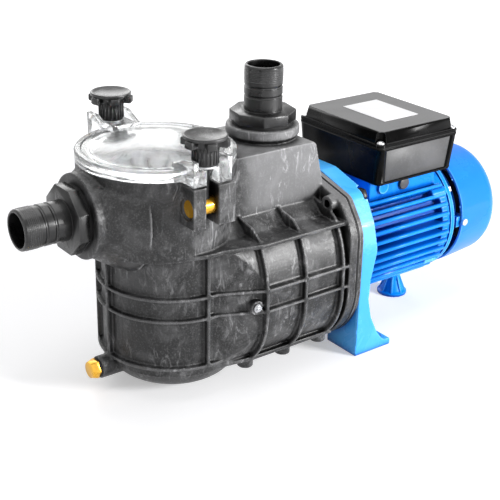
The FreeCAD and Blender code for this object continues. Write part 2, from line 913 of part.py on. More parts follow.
# The joint's outline, shared by the casing's flange, the gasket and the seal plate: round sides, a flat
# roof that slopes down on both sides, and full lower corners.
def joint_outline(name, start, length):
    half = d.barrel_half + d.rib_rise
    bolt_across, bolt_rise = polar(d.bolt_circle, 45)
    eave_height = d.shaft_height + bolt_rise + d.eave_rise
    low = (half, d.shaft_height - half)
    shoulder = (half, d.split_height - 6)
    eave = (bolt_across + d.eave_margin, eave_height)
    roof = (18, eave_height + d.roof_rise)
    corners = [low, shoulder, eave, roof]
    pairs = [[corner, (-as_size(corner[0]), corner[1])] for corner in corners]
    rounds = list(zip((72, 40, 10, 10), pairs))
    return padded(name, mirrored(corners), length, (start, 0, 0), "X", rounds)


# A threaded hose tail, drawn with its local Z pointing out of the port and zero at the port's face.
def hose_tail(node, at, axis, spin):
    seat = d.gasket_thick
    base = seat + d.collar_thick
    tip = base + d.tail_length
    root = d.tail_radius - d.barb_depth
    first = base + d.tail_length * 0.3
    second = base + d.tail_length * 0.51
    profile = [
        (d.tail_bore, -d.thread_length),
        (d.thread_radius - 1, -d.thread_length),
        (d.thread_radius, 1 - d.thread_length),
        (d.thread_radius, seat),
        (d.collar_radius - 3, seat),
        (d.collar_radius - 3, base),
        (d.tail_radius, base),
        (d.tail_radius, first),
        (root, first),
        (root, first + 1.5),
        (d.tail_radius, first + 3),
        (d.tail_radius, second),
        (root, second),
        (root, second + 1.5),
        (d.tail_radius, second + 3),
        (d.tail_radius, tip - 1.5),
        (d.tail_radius - 1.2, tip),
        (d.tail_bore, tip),
    ]
    stem = turned(f"{node}_stem", profile, at, axis)
    step = local_step(at, axis, seat)
    collar = prism(f"{node}_collar", 8, d.collar_radius, d.collar_thick, step, axis, spin)
    bore = cylinder(f"{node}_bore", d.tail_bore, base, at, axis)
    keep(node, cut(node, fuse(f"{node}_body", [stem, collar]), [bore]))


def local_step(at, axis, distance):
    along = FRAMES[axis].multVec(Vector(0, 0, 1))
    return tuple(as_size(start) + as_size(distance) * part for start, part in zip(at, along))


def build_ports():
    ports = {
        "discharge": ((-d.port_reach, 0, d.port_top), "Z", 10),
        "suction": ((-d.suction_reach, 0, d.suction_height), "-X", 22.5),
    }
    for name, (at, axis, spin) in ports.items():
        hose_tail(f"{name}_hose_tail", at, axis, spin)
        node = f"{name}_gasket"
        inner = d.thread_radius + d.screw_gap
        keep(node, tube(node, d.collar_radius - 2.5, inner, d.gasket_thick, at, axis))


def build_barrel_nuts():
    for name, side in SIDES.items():
        node = f"{name}_barrel_nut"
        length = d.ear_width - 6
        at = (-d.lug_reach - length / 2, side * d.knob_spread, d.nut_height)
        round_bar = cylinder(f"{node}_bar", d.nut_radius, length, at, "X")
        radius = d.stud_radius + d.screw_gap
        hole_at = (-d.lug_reach, side * d.knob_spread, d.nut_height - d.nut_radius - 1)
        hole = cylinder(f"{node}_hole", radius, 2 * d.nut_radius + 2, hole_at)
        keep(node, cut(node, round_bar, [hole]))


def build_casing_trim():
    height = d.lid_seat - d.ring_thick / 2 - 0.1
    keep("lid_o_ring", torus("lid_o_ring", d.ring_radius, d.ring_thick / 2, (-d.pot_reach, 0, height)))
    shank = cylinder("side_screw_shank", 2.9, 9, screw_place(-2), "Y")
    head = turned(
        "side_screw_head",
        [(0, 0), (4.6, 0), (4.6, 1.4), (3, 2.6), (0, 2.6)],
        screw_place(-2),
        "-Y",
    )
    spot = screw_place(-4.8)
    nick = block(
        "side_screw_nick",
        (spot[0] - 6, spot[1], spot[2] - 0.5),
        (spot[0] + 6, spot[1] + 1.4, spot[2] + 0.5),
    )
    keep("side_screw", cut("side_screw", fuse("side_screw_body", [shank, head]), [nick]))


def bolt_holes(name, start, length, radius):
    holes = []
    for index, (across, up) in enumerate(bolt_spots()):
        holes.append(cylinder(f"{name}{index}", radius, length, (start, across, up), "X"))
    return holes


def build_joint_stack():
    clear = d.bolt_radius + d.screw_gap
    hollow = d.crown_radius - d.barrel_wall
    start = -d.casing_face
    sheet_stock = joint_outline("gasket_stock", start, d.gasket_sheet)
    opening = cylinder("gasket_opening", hollow + 1, d.gasket_sheet, (start, 0, d.shaft_height), "X")
    holes = bolt_holes("gasket_hole", start, d.gasket_sheet, clear)
    keep("body_gasket", cut("body_gasket", sheet_stock, [opening] + holes))
    start = -d.bracket_reach - d.plate_thick
    plate = joint_outline("plate_stock", start, d.plate_thick)
    boss_start = start - d.seat_thick
    boss = cylinder("plate_boss", d.seat_radius + 6, d.seat_thick, (boss_start, 0, d.shaft_height), "X")
    lip = d.diffuser_radius + d.pass_gap
    spigot = tube("plate_spigot", hollow - d.pass_gap, lip, 4, (start - 4, 0, d.shaft_height), "X")
    way = cylinder("plate_way", d.pump_shaft + 2.5, d.plate_thick, (start, 0, d.shaft_height), "X")
    pocket = cylinder(
        "seat_pocket", d.seat_radius + d.seat_gap, d.seat_thick, (boss_start, 0, d.shaft_height), "X"
    )
    holes = bolt_holes("plate_hole", start, d.plate_thick, clear)
    solid = fuse("plate_solid", [plate, boss, spigot])
    keep("seal_plate", cut("seal_plate", solid, [way, pocket] + holes))


def build_seal():
    at = (-d.seal_face, 0, d.shaft_height)
    keep("seal_seat", tube("seal_seat", d.seat_radius, d.pump_shaft + 1.5, d.seat_thick, at, "X"))
    thick = d.head_thick
    head_start = -d.seal_face - d.film_gap - thick
    head = tube("seal_head", d.seal_radius, d.pump_shaft, thick, (head_start, 0, d.shaft_height), "X")
    keep("seal_head", head)
    # A rubber bellows with two folds presses the head against its seat.
    pitch = (d.bellows_length - d.film_gap) / 4
    valley = d.seal_radius - 3.5
    sheet_thick = 1.5
    outer = [(valley if step % 2 == 0 else d.seal_radius - 0.5, pitch * step) for step in range(5)]
    inner = [(reach - sheet_thick, up) for reach, up in reversed(outer)]
    keep("seal_bellows", turned("seal_bellows", outer + inner, (-d.impeller_back, 0, d.shaft_height), "X"))


def build_diffuser():
    axis = d.shaft_height
    rear = d.bracket_reach + d.plate_thick
    front_face = d.impeller_front + 12
    wall = d.diffuser_wall
    length = front_face - rear
    sleeve_length = d.chamber_front + 6 - front_face
    neck_bore = d.neck_radius + d.pass_gap
    profile = [
        (d.sleeve_radius, 0),
        (d.sleeve_radius, sleeve_length),
        (d.diffuser_radius - 6, sleeve_length),
        (d.diffuser_radius, sleeve_length + 6),
        (d.diffuser_radius, sleeve_length + length - 0.1),
        (d.diffuser_radius - wall, sleeve_length + length - 0.1),
        (d.diffuser_radius - wall, sleeve_length + wall + 4),
        (d.diffuser_radius - wall - 4, sleeve_length + wall),
        (neck_bore, sleeve_length + wall),
        (neck_bore, 0),
    ]
    shell = turned("diffuser_shell", profile, (-front_face - sleeve_length, 0, axis), "X")
    windows = []
    start = -rear - 12
    for index in range(6):
        at = (start, 0, axis)
        angle = 60 * index + 30
        reach = d.diffuser_radius
        windows.append(bar(f"diffuser_window{index}", reach - 12, reach + 2, 26, 8, at, "X", angle))
    keep("diffuser", cut("diffuser", shell, windows))


def build_impeller():
    axis = d.shaft_height
    back = -d.impeller_back
    thick = d.shroud_thick
    disc = cylinder("impeller_disc", d.impeller_radius, thick, (back - thick, 0, axis), "X")
    hub_length = d.vane_height + 2 * thick
    hub = cylinder("impeller_hub", d.hub_radius, hub_length, (back - hub_length, 0, axis), "X")
    front_start = back - d.vane_height - 2 * thick
    front = tube("impeller_front", d.impeller_radius, d.eye_radius, thick, (front_start, 0, axis), "X")
    neck = tube("impeller_neck", d.neck_radius, d.eye_radius, 9, (front_start - 9, 0, axis), "X")
    vanes = []
    for index in range(6):
        angle = 60 * index
        vane_at = (front_start + thick, 0, axis)
        blade = bar(f"impeller_vane{index}", 6, d.impeller_radius + 8, 3, d.vane_height, vane_at, "X", angle)
        turn = Rotation(FRAMES["X"].multVec(Vector(0, 0, 1)), 32)
        across, up = polar(18, angle)
        blade.Placement.Rotation = turn.multiply(blade.Placement.Rotation)
        place_base(blade, (front_start + thick, across, d.shaft_height + up))
        vanes.append(blade)
    vane_at = (front_start + thick, 0, axis)
    drum = tube("vane_drum", d.impeller_radius, d.hub_radius - 1, d.vane_height, vane_at, "X")
    blades = common("impeller_vanes", [fuse("impeller_blades", vanes), drum])
    solid = fuse("impeller_solid", [disc, hub, front, neck, blades])
    bore = cylinder("impeller_bore", d.pump_shaft, hub_length, (back - hub_length, 0, axis), "X")
    keep("impeller", cut("impeller", solid, [bore]))
    nut_length = d.nut_length
    nut_at = (back - hub_length - nut_length, 0, axis)
    nut = prism("nut_stock", 6, d.hub_radius - 2, nut_length, nut_at, "X")
    hole = cylinder("nut_hole", d.thread_end, nut_length, nut_at, "X")
    keep("impeller_nut", cut("impeller_nut", nut, [hole]))


def place_base(thing, at):
    for letter, value in zip("xyz", at):
        size = as_size(value)
        base = thing.Placement.Base
        setattr(base, letter, size.number)
        thing.Placement = FreeCAD.Placement(base, thing.Placement.Rotation)
        if "Sizes." in size.formula:
            thing.setExpression(f"Placement.Base.{letter}", size.formula)


def build_shaft():
    axis = d.shaft_height
    front_bearing = -d.bracket_rear - d.front_ring_width
    rear_bearing = d.housing_end - d.rear_ring_width
    steps = [
        (d.thread_end, -d.impeller_front - d.nut_length - 1, -d.impeller_front),
        (d.pump_shaft, -d.impeller_front, front_bearing),
        (d.motor_shaft, front_bearing, rear_bearing),
        (d.rear_shaft, rear_bearing, d.cover_start + 3),
        (d.rear_shaft - 1.5, d.cover_start + 3, d.cover_end - 20),
    ]
    pieces = []
    for index, (radius, start, end) in enumerate(steps):
        pieces.append(cylinder(f"shaft_step{index}", radius, as_size(end) - start, (start, 0, axis), "X"))
    keep("motor_shaft", fuse("motor_shaft", pieces))
    start = -d.bracket_reach + 1
    slinger = tube("slinger", 17, d.pump_shaft, 2, (start, 0, axis), "X")
    keep("slinger", slinger)
    core_at = (stator_start(), 0, axis)
    core = tube("rotor_core", d.stator_bore - d.air_gap, d.motor_shaft, d.stator_length, core_at, "X")
    keep("rotor_core", core)


def stator_start():
    return -d.bracket_rear + 6 + d.winding_length + 8


def bearing(name, bore, outer, width, start):
    axis = d.shaft_height
    middle = (bore + outer) / 2
    ball = (outer - bore) * 0.28
    centre = (start + width / 2, 0, axis)
    inner = tube(f"{name}_inner_stock", middle - ball * 0.55, bore, width, (start, 0, axis), "X")
    node = f"{name}_bearing_inner_ring"
    keep(node, cut(node, inner, [torus(f"{name}_inner_race", middle, ball + d.film_gap, centre, "X")]))
    outer_ring = tube(f"{name}_outer_stock", outer, middle + ball * 0.55, width, (start, 0, axis), "X")
    node = f"{name}_bearing_outer_ring"
    race = torus(f"{name}_outer_race", middle, ball + d.film_gap, centre, "X")
    keep(node, cut(node, outer_ring, [race]))
    balls = []
    for index in range(8):
        across, up = polar(1, 45 * index)
        at = (centre[0], middle * across, axis + middle * up)
        balls.append(sphere(f"{name}_ball{index}", ball, at))
    keep(f"{name}_bearing_balls", group(f"{name}_bearing_balls", balls))


def build_bearings():
    bearing("front", d.motor_shaft, d.front_ring, d.front_ring_width, -d.bracket_rear - d.front_ring_width)
    rear_start = d.housing_end - d.rear_ring_width
    bearing("rear", d.rear_shaft, d.rear_ring, d.rear_ring_width, rear_start)
    washer_at = (d.housing_end, 0, d.shaft_height)
    keep("wave_washer", tube("wave_washer", d.rear_ring - 0.5, d.rear_ring - 4, 1, washer_at, "X"))


def build_bracket():
    axis = d.shaft_height
    front = -d.bracket_reach
    rear = -d.bracket_rear
    half = d.bracket_half
    sides = [
        (half, 0),
        (half, d.split_height - 31),
        (half - 7, d.split_height - 6),
        (half - 23, d.bracket_top - 13),
        (half - 69, d.bracket_top),
    ]
    pairs = [[corner, (-corner[0], corner[1])] for corner in sides[1:]]
    rounds = list(zip((30, 22, 12, 12), pairs))
    face = padded("bracket_face", mirrored(sides), d.foot_toe - front, (front, 0, 0), "X", rounds)
    waist = [
        (front, 0),
        (d.foot_toe, 0),
        (d.foot_toe, d.foot_thick),
        (rear + 17, d.foot_thick + 2),
        (rear + 8, d.foot_thick + 13),
        (rear - 2, d.foot_thick + 33),
        (rear - 7, d.foot_thick + 55),
        (rear - 6, d.foot_thick + 77),
        (rear, d.foot_thick + 105),
        (rear, d.bracket_top),
        (front, d.bracket_top),
    ]
    web = padded("bracket_web", waist, 2 * half, (0, half, 0), "-Y")
    spigot = tube("bracket_spigot", d.housing_bore - 0.05, d.housing_bore - 4, 4, (rear, 0, axis), "X")
    solid = fuse("bracket_solid", [common("bracket_stock", [face, web]), spigot])
    tools = [
        block("bracket_arch", (front - 1, -half + 45, -1), (d.foot_toe + 1, half - 45, 16)),
        cylinder("bracket_bore", d.pump_shaft + 4, d.bracket_thick, (front, 0, axis), "X"),
        cylinder(
            "bracket_pocket",
            d.front_ring + d.film_gap,
            d.front_ring_width,
            (rear - d.front_ring_width, 0, axis),
            "X",
        ),
        cylinder("slinger_pocket", 20, 5, (front, 0, axis), "X"),
        tube("bracket_relief", d.housing_bore - 5, d.front_ring + 5, 13, (rear - 13, 0, axis), "X"),
    ]
    tools += bolt_holes("bracket_hole", front, d.bracket_thick, d.bolt_radius + d.screw_gap)
    tools += bolt_holes("bracket_spot", rear - 4, 30, d.bolt_radius + 5)
    for side in (-1, 1):
        for end in (-1, 1):
            at = (0, side * d.bolt_spread + end * d.slot_travel / 2, -1)
            tools.append(cylinder(f"foot_hole{side + 1}{end + 1}", d.slot_radius, 20, at))
        middle = side * d.bolt_spread
        low = (-d.slot_radius, middle - d.slot_travel / 2, -1)
        high = (d.slot_radius, middle + d.slot_travel / 2, 19)
        tools.append(block(f"foot_slot{side + 1}", low, high))
        tools.append(cylinder(f"foot_spot{side + 1}", 12, 60, (0, middle, d.foot_thick)))
    keep("motor_bracket", cut("motor_bracket", solid, tools))
    bolts = []
    head_start = rear - 4
    length = head_start + d.flange_start - 2
    for index, (across, up) in enumerate(bolt_spots()):
        shank = cylinder(f"bolt_shank{index}", d.bolt_radius, length, (head_start - length, across, up), "X")
        head_at = (head_start, across, up)
        head = prism(f"bolt_head{index}", 6, d.bolt_radius * 1.85, d.bolt_head, head_at, "X")
        bolts.append(fuse(f"flange_bolt{index}", [shank, head]))
    keep("flange_bolts", group("flange_bolts", bolts))


def end_spots(radius):
    spots = []
    for angle in (35, 145, 220, 320):
        across, up = polar(1, angle)
        spots.append((as_size(radius) * across, d.shaft_height + as_size(radius) * up))
    return spots


def build_housing():
    axis = d.shaft_height
    start = -d.bracket_rear
    length = d.housing_end - start
    outer = d.fin_root
    nose = d.fin_radius - 4
    tail = d.fin_radius - 2
    profile = [
        (d.housing_bore, 0),
        (nose, 0),
        (nose, 8),
        (outer, 8),
        (outer, length - 10),
        (tail, length - 10),
        (tail, length),
        (d.housing_bore, length),
    ]
    drum = turned("housing_drum", profile, (start, 0, axis), "X")
    fins = []
    count = int(round(d.fin_count.number))
    for index in range(count):
        angle = 360 * (index + 0.5) / count
        if abs(angle - 90) < 42:
            continue
        at = (start + 4, 0, axis)
        fins.append(bar(f"fin{index}", outer - 1, d.fin_radius, d.fin_thick, length - 8, at, "X", angle))
    finned = fuse("housing_finned", [drum] + fins)
    saddle_half = d.box_half - d.saddle_inset
    saddle = block("saddle", (d.box_start + 4, -saddle_half, axis), (d.box_end - 8, saddle_half, d.box_floor))
    prop_top = cylinder("prop_boss", 9, 24, (d.prop_reach, 0, axis - d.fin_radius))
    bore = cylinder("housing_way", d.housing_bore + 1, length, (start, 0, axis), "X")
    dressed = fuse("housing_dressed", [finned, cut("saddle_hollow", saddle, [bore]), prop_top])
    lugs = []
    for index, (across, up) in enumerate(end_spots(d.fin_radius - 7)):
        lugs.append(cylinder(f"lug{index}", 6, 20, (d.housing_end - 20, across, up), "X"))
    solid = fuse("housing_solid", [dressed] + lugs)
    tools = [cylinder("wire_hole", 10, 40, (d.box_start + 52, 0, d.box_floor - 39))]
    for index, (across, up) in enumerate(end_spots(d.fin_radius - 7)):
        at = (d.housing_end - d.end_length + 3, across, up)
        tools.append(cylinder(f"lug_hole{index}", d.end_screw + 0.1, d.end_length - 3, at, "X"))
    tools.append(box_room("housing"))
    for name, spot in plug_spots().items():
        tools.append(cylinder(f"{name}_hole", d.plug_radius - 1.5, 9, (spot[0], spot[1], spot[2]), "Y"))
    keep("motor_housing", cut("motor_housing", solid, tools))
    for name, spot in plug_spots().items():
        stem = cylinder(f"{name}_stem", d.plug_radius - 1.6, 8, spot, "Y")
        face = cylinder(f"{name}_face", d.plug_radius, 3, spot, "-Y")
        keep(name, fuse(name, [stem, face]))


# The end flanges are flat under the terminal box.
def box_room(name):
    low = (d.box_start, -EXTREME, d.box_floor)
    return block(f"{name}_box_room", low, (d.box_end + d.screw_gap, EXTREME, EXTREME))


def plug_spots():
    side = -d.box_half + d.saddle_inset
    return {
        "blanking_plug": (d.box_start + 25, side, d.box_floor - 9),
        "cable_gland": (d.box_start + 55.5, side, d.box_floor - 10.5),
    }


def build_stator():
    axis = d.shaft_height
    start = stator_start()
    outer = d.housing_bore - d.seat_gap
    core = tube("stator_core", outer, d.stator_bore, d.stator_length, (start, 0, axis), "X")
    keep("stator_core", core)
    coils = []
    for name, at in (("front", start - d.winding_length), ("rear", start + d.stator_length)):
        coil_at = (at, 0, axis)
        inner = d.stator_bore + 2
        coils.append(tube(f"{name}_coil", d.housing_bore - 4, inner, d.winding_length, coil_at, "X"))
    keep("stator_winding", group("stator_winding", coils))


def build_rear_end():
    axis = d.shaft_height
    pocket = d.rear_ring_width + 1
    hub = d.rear_ring + 6
    rim = d.fin_radius - 13
    profile = [
        (d.rear_ring + d.film_gap, 0),
        (hub, 0),
        (hub, pocket + 6),
        (d.housing_bore - 4, pocket + 6),
        (d.housing_bore - 4, pocket - 4),
        (d.housing_bore - 0.05, pocket - 4),
        (d.housing_bore - 0.05, pocket - 1),
        (d.fin_radius - 2, pocket - 1),
        (d.fin_radius - 2, pocket + 4),
        (rim, pocket + 4),
        (rim, pocket + d.shield_thick - 1),
        (d.rear_shaft + 1, pocket + d.shield_thick - 1),
        (d.rear_shaft + 1, pocket),
        (d.rear_ring + d.film_gap, pocket),
    ]
    start = d.housing_end + 1 - pocket
    shell = turned("shield_shell", profile, (start, 0, axis), "X")
    posts = []
    holes = []
    for angle in (0, 90, 180, 270):
        at = (d.cover_start - 6, 0, axis)
        reach = d.cover_radius - d.cover_sheet - 0.6
        posts.append(bar(f"post{angle}", rim - 4, reach, 12, 12, at, "X", angle))
        across, up = polar(1, angle)
        hole_reach = reach - 9
        hole_at = (d.cover_start + 3, hole_reach * across, axis + hole_reach * up)
        holes.append(cylinder(f"post_hole{angle}", d.cover_screw + 0.1, 12, hole_at, POST_AXES[angle]))
    for index, (across, up) in enumerate(end_spots(d.fin_radius - 7)):
        hole_at = (d.housing_end, across, up)
        holes.append(cylinder(f"end_hole{index}", d.end_screw + d.screw_gap, 6, hole_at, "X"))
    holes.append(box_room("shield"))
    keep("rear_endshield", cut("rear_endshield", fuse("shield_solid", [shell] + posts), holes))
    screws = []
    for index, (across, up) in enumerate(end_spots(d.fin_radius - 7)):
        start = d.housing_end + 5
        shank_at = (start - d.end_length, across, up)
        shank = cylinder(f"end_shank{index}", d.end_screw, d.end_length, shank_at, "X")
        head_at = (start, across, up)
        head = prism(f"end_head{index}", 6, d.end_screw + 2.2, d.end_screw + 1.1, head_at, "X")
        screws.append(fuse(f"end_screw{index}", [shank, head]))
    keep("end_screws", group("end_screws", screws))


POST_AXES = {0: "Y", 90: "Z", 180: "-Y", 270: "-Z"}


def build_fan_cover():
    axis = d.shaft_height
    length = d.cover_end - d.cover_start
    sheet_thick = d.cover_sheet
    taper = 4
    profile = [
        (d.cover_radius, 0),
        (d.cover_radius, 9),
        (d.cover_radius - taper, length),
        (0, length),
        (0, length - sheet_thick),
        (d.cover_radius - taper - sheet_thick, length - sheet_thick),
        (d.cover_radius - sheet_thick, 9),
        (d.cover_radius - sheet_thick, 0),
    ]
    rounds = [
        (d.cover_round, [(d.cover_radius - taper, length)]),
        (d.cover_round - sheet_thick, [(d.cover_radius - taper - sheet_thick, length - sheet_thick)]),
    ]
    shell = turned("cover_shell", profile, (d.cover_start, 0, axis), "X", rounds)
    slits = []
    for index in range(24):
        at = (d.cover_end - 6, 0, axis)
        slits.append(bar(f"slit{index}", 16, d.cover_radius - 25, 3.5, 8, at, "X", 15 * index))
    holes = []
    screws = []
    for angle, way in POST_AXES.items():
        across, up = polar(1, angle)
        inside = d.cover_radius - sheet_thick - 9
        at = (d.cover_start + 3, inside * across, axis + inside * up)
        holes.append(cylinder(f"cover_hole{angle}", d.cover_screw + 0.3, 14, at, way))
        shank = cylinder(f"cover_shank{angle}", d.cover_screw, 9 + sheet_thick, at, way)
        head_at = (d.cover_start + 3, d.cover_radius * across, axis + d.cover_radius * up)
        head = cylinder(f"cover_head{angle}", 2 * d.cover_screw, d.cover_screw + 0.1, head_at, way)
        screws.append(fuse(f"cover_screw{angle}", [shank, head]))
    keep("fan_cover", cut("fan_cover", shell, slits + holes))
    keep("fan_cover_screws", group("fan_cover_screws", screws))


def build_fan():
    axis = d.shaft_height
    start = d.cover_start + d.fan_inset
    hub = cylinder("fan_hub", d.fan_hub, d.fan_width, (start, 0, axis), "X")
    disc = cylinder("fan_disc", d.fan_radius - 6, d.disc_thick, (start, 0, axis), "X")
    blades = [hub, disc]
    count = int(round(d.fan_blades.number))
    for index in range(count):
        at = (start, 0, axis)
        name = f"fan_blade{index}"
        angle = 360 * index / count
        root = d.fan_hub - 2
        blades.append(bar(name, root, d.fan_radius, d.blade_thick, d.blade_width, at, "X", angle))
    bore = cylinder("fan_bore", d.rear_shaft - 1.5, d.fan_width, (start, 0, axis), "X")
    keep("cooling_fan", cut("cooling_fan", fuse("fan_solid", blades), [bore]))


def build_prop():
    height = d.shaft_height - d.fin_radius
    radius = d.prop_radius
    stem = turned(
        "prop_stem",
        [(0, 0), (radius, 0), (radius, 3), (radius - 3, 4.5), (8, height - 14), (6.5, height), (0, height)],
        (d.prop_reach, 0, 0),
    )
    veil = cone("prop_veil", radius - 1, 8, height - 12, (d.prop_reach, 0, 3))
    ribs = []
    for index in range(8):
        at = (d.prop_reach, 0, 3)
        ribs.append(bar(f"prop_rib{index}", 2, radius, 2, height - 10, at, "Z", 45 * index))
    ribs = common("prop_ribs", [veil, fuse("prop_bars", ribs)])
    keep("support_foot", fuse("support_foot", [stem, ribs]))


# A block whose upper face is drawn in on all four sides; a negative inset spreads it.
def frustum(name, low, high, inset):
    solid = doc.addObject("Part::Wedge", name)
    span_x = as_size(high[0]) - low[0]
    span_y = as_size(high[1]) - low[1]
    bind(solid, "Xmin", 0)
    bind(solid, "Zmin", 0)
    bind(solid, "Ymin", 0)
    bind(solid, "Xmax", span_x)
    bind(solid, "Zmax", span_y)
    bind(solid, "Ymax", as_size(high[2]) - low[2])
    bind(solid, "X2min", as_size(inset))
    bind(solid, "Z2min", as_size(inset))
    bind(solid, "X2max", span_x - inset)
    bind(solid, "Z2max", span_y - inset)
    upright = Rotation(Vector(1, 0, 0), Vector(0, 0, 1), Vector(0, -1, 0), "ZXY")
    corner = (as_size(low[0]), as_size(high[1]), as_size(low[2]))
    solid.Placement = FreeCAD.Placement(Vector(*[value.number for value in corner]), upright)
    for letter, value in zip("xyz", corner):
        if "Sizes." in value.formula:
            solid.setExpression(f"Placement.Base.{letter}", value.formula)
    return solid


def box_corners(inset):
    corners = []
    for x in (d.box_start + inset, d.box_end - inset):
        for y in (-d.box_half + inset, d.box_half - inset):
            corners.append((x, y))
    return corners


def build_terminal_box():
    wall = d.box_wall
    taper = 3
    floor = d.box_floor
    low = (d.box_start + taper, -d.box_half + taper, floor)
    high = (d.box_end - taper, d.box_half - taper, d.box_split)
    tub = frustum("tub", low, high, -taper)
    low = (low[0] + wall, low[1] + wall, floor + wall)
    high = (high[0] - wall, high[1] - wall, d.box_split)
    hollow = frustum("tub_hollow", low, high, -taper)
    posts = []
    holes = []
    for index, (x, y) in enumerate(box_corners(6)):
        posts.append(cylinder(f"tub_post{index}", 5, d.box_split - floor, (x, y, floor)))
        hole_at = (x, y, d.box_split - d.lid_screw_length - 4)
        holes.append(cylinder(f"tub_hole{index}", d.lid_screw + 0.1, d.lid_screw_length + 4, hole_at))
    shell = cut("tub_shell", tub, [hollow])
    holes.append(cylinder("tub_wire_hole", 10, wall + 2, (d.box_start + 52, 0, floor - 1)))
    clipped = common("tub_posts", [fuse("tub_post_set", posts), tub])
    keep("terminal_box_base", cut("terminal_box_base", fuse("tub_solid", [shell, clipped]), holes))
    sheet_thick = 1
    low = (d.box_start, -d.box_half, d.box_split)
    high = (d.box_end, d.box_half, d.box_split + sheet_thick)
    seal = block("box_seal", low, high)
    inner = block(
        "box_seal_inner",
        (d.box_start + wall + 1, -d.box_half + wall + 1, d.box_split),
        (d.box_end - wall - 1, d.box_half - wall - 1, d.box_split + sheet_thick),
    )
    corners = []
    holes = []
    for index, (x, y) in enumerate(box_corners(6)):
        corners.append(cylinder(f"seal_post{index}", 5, sheet_thick, (x, y, d.box_split)))
        holes.append(cylinder(f"seal_hole{index}", d.lid_screw + 0.5, sheet_thick, (x, y, d.box_split)))
    ring = cut("box_seal_ring", seal, [inner])
    trimmed = common("box_seal_posts", [fuse("box_seal_post_set", corners), seal])
    keep("terminal_box_gasket", cut("terminal_box_gasket", fuse("box_seal_solid", [ring, trimmed]), holes))
    build_terminal_lid(d.box_split + sheet_thick)


def build_terminal_lid(start):
    wall = d.box_wall
    rim = 3.5
    plate = block("box_lid_rim", (d.box_start, -d.box_half, start), (d.box_end, d.box_half, start + rim))
    step = 1.5
    low = (d.box_start + step, -d.box_half + step, start + rim)
    high = (d.box_end - step, d.box_half - step, d.box_top)
    cap = frustum("box_lid_cap", low, high, d.box_inset - step)
    notches = []
    holes = []
    for index, (x, y) in enumerate(box_corners(5)):
        notches.append(cylinder(f"lid_notch{index}", 7.5, 30, (x, y, start + rim)))
    for index, (x, y) in enumerate(box_corners(6)):
        holes.append(cylinder(f"lid_hole{index}", d.lid_screw + 0.5, rim, (x, y, start)))
    inset = d.box_inset + wall + 3
    hollow = block(
        "box_lid_hollow",
        (d.box_start + inset, -d.box_half + inset, start),
        (d.box_end - inset, d.box_half - inset, d.box_top - wall),
    )
    notched = cut("box_lid_notched", cap, notches)
    solid = fuse("box_lid_solid", [plate, notched])
    keep("terminal_box_lid", cut("terminal_box_lid", solid, [hollow] + holes))
    screws = []
    head = d.lid_screw + 2.3
    length = d.lid_screw_length
    for index, (x, y) in enumerate(box_corners(6)):
        shank = cylinder(f"box_shank{index}", d.lid_screw, length, (x, y, start + rim - length))
        head_profile = [(0, 0), (head, 0), (head, head * 0.3), (head * 0.62, head * 0.6), (0, head * 0.6)]
        dome = turned(f"box_head{index}", head_profile, (x, y, start + rim))
        nick = start + rim + head * 0.35
        across = block(f"box_nick{index}", (x - head, y - 0.5, nick), (x + head, y + 0.5, nick + 2))
        along = block(f"box_nick_turned{index}", (x - 0.5, y - head, nick), (x + 0.5, y + head, nick + 2))
        screw = fuse(f"box_screw_body{index}", [shank, dome])
        screws.append(cut(f"box_screw{index}", screw, [across, along]))
    keep("terminal_lid_screws", group("terminal_lid_screws", screws))
    middle = (d.box_start + d.box_end) / 2 + d.label_shift
    label = block(
        "rating_label",
        (middle - d.label_wide / 2, -d.label_long / 2, d.box_top),
        (middle + d.label_wide / 2, d.label_long / 2, d.box_top + d.label_thick),
    )
    keep("rating_label", label)
    floor = d.box_floor + wall
    start_x = d.box_start + 26
    radius = d.can_radius
    can_y = d.box_half - wall - radius - 14
    can = cylinder("capacitor_can", radius, d.can_length, (start_x, can_y, floor + radius), "X")
    clip_start = start_x + d.can_length / 2 - 10
    saddle = block(
        "capacitor_clip",
        (clip_start, can_y - radius * 0.75, floor),
        (clip_start + 20, can_y + radius * 0.75, floor + radius / 2),
    )
    keep("capacitor", fuse("capacitor", [can, saddle]))
    block_y = -d.box_half + wall + 18
    body = block(
        "terminal_stock",
        (start_x, block_y, floor),
        (start_x + d.block_length, block_y + d.block_width, floor + d.block_height),
    )
    pits = []
    pitch = d.block_length / 4
    for index in range(4):
        at = (start_x + pitch * (index + 0.5), block_y + d.block_width / 2, floor + d.block_height - 8)
        pits.append(cylinder(f"terminal_pit{index}", 3.5, 10, at))
    keep("terminal_block", cut("terminal_block", body, pits))


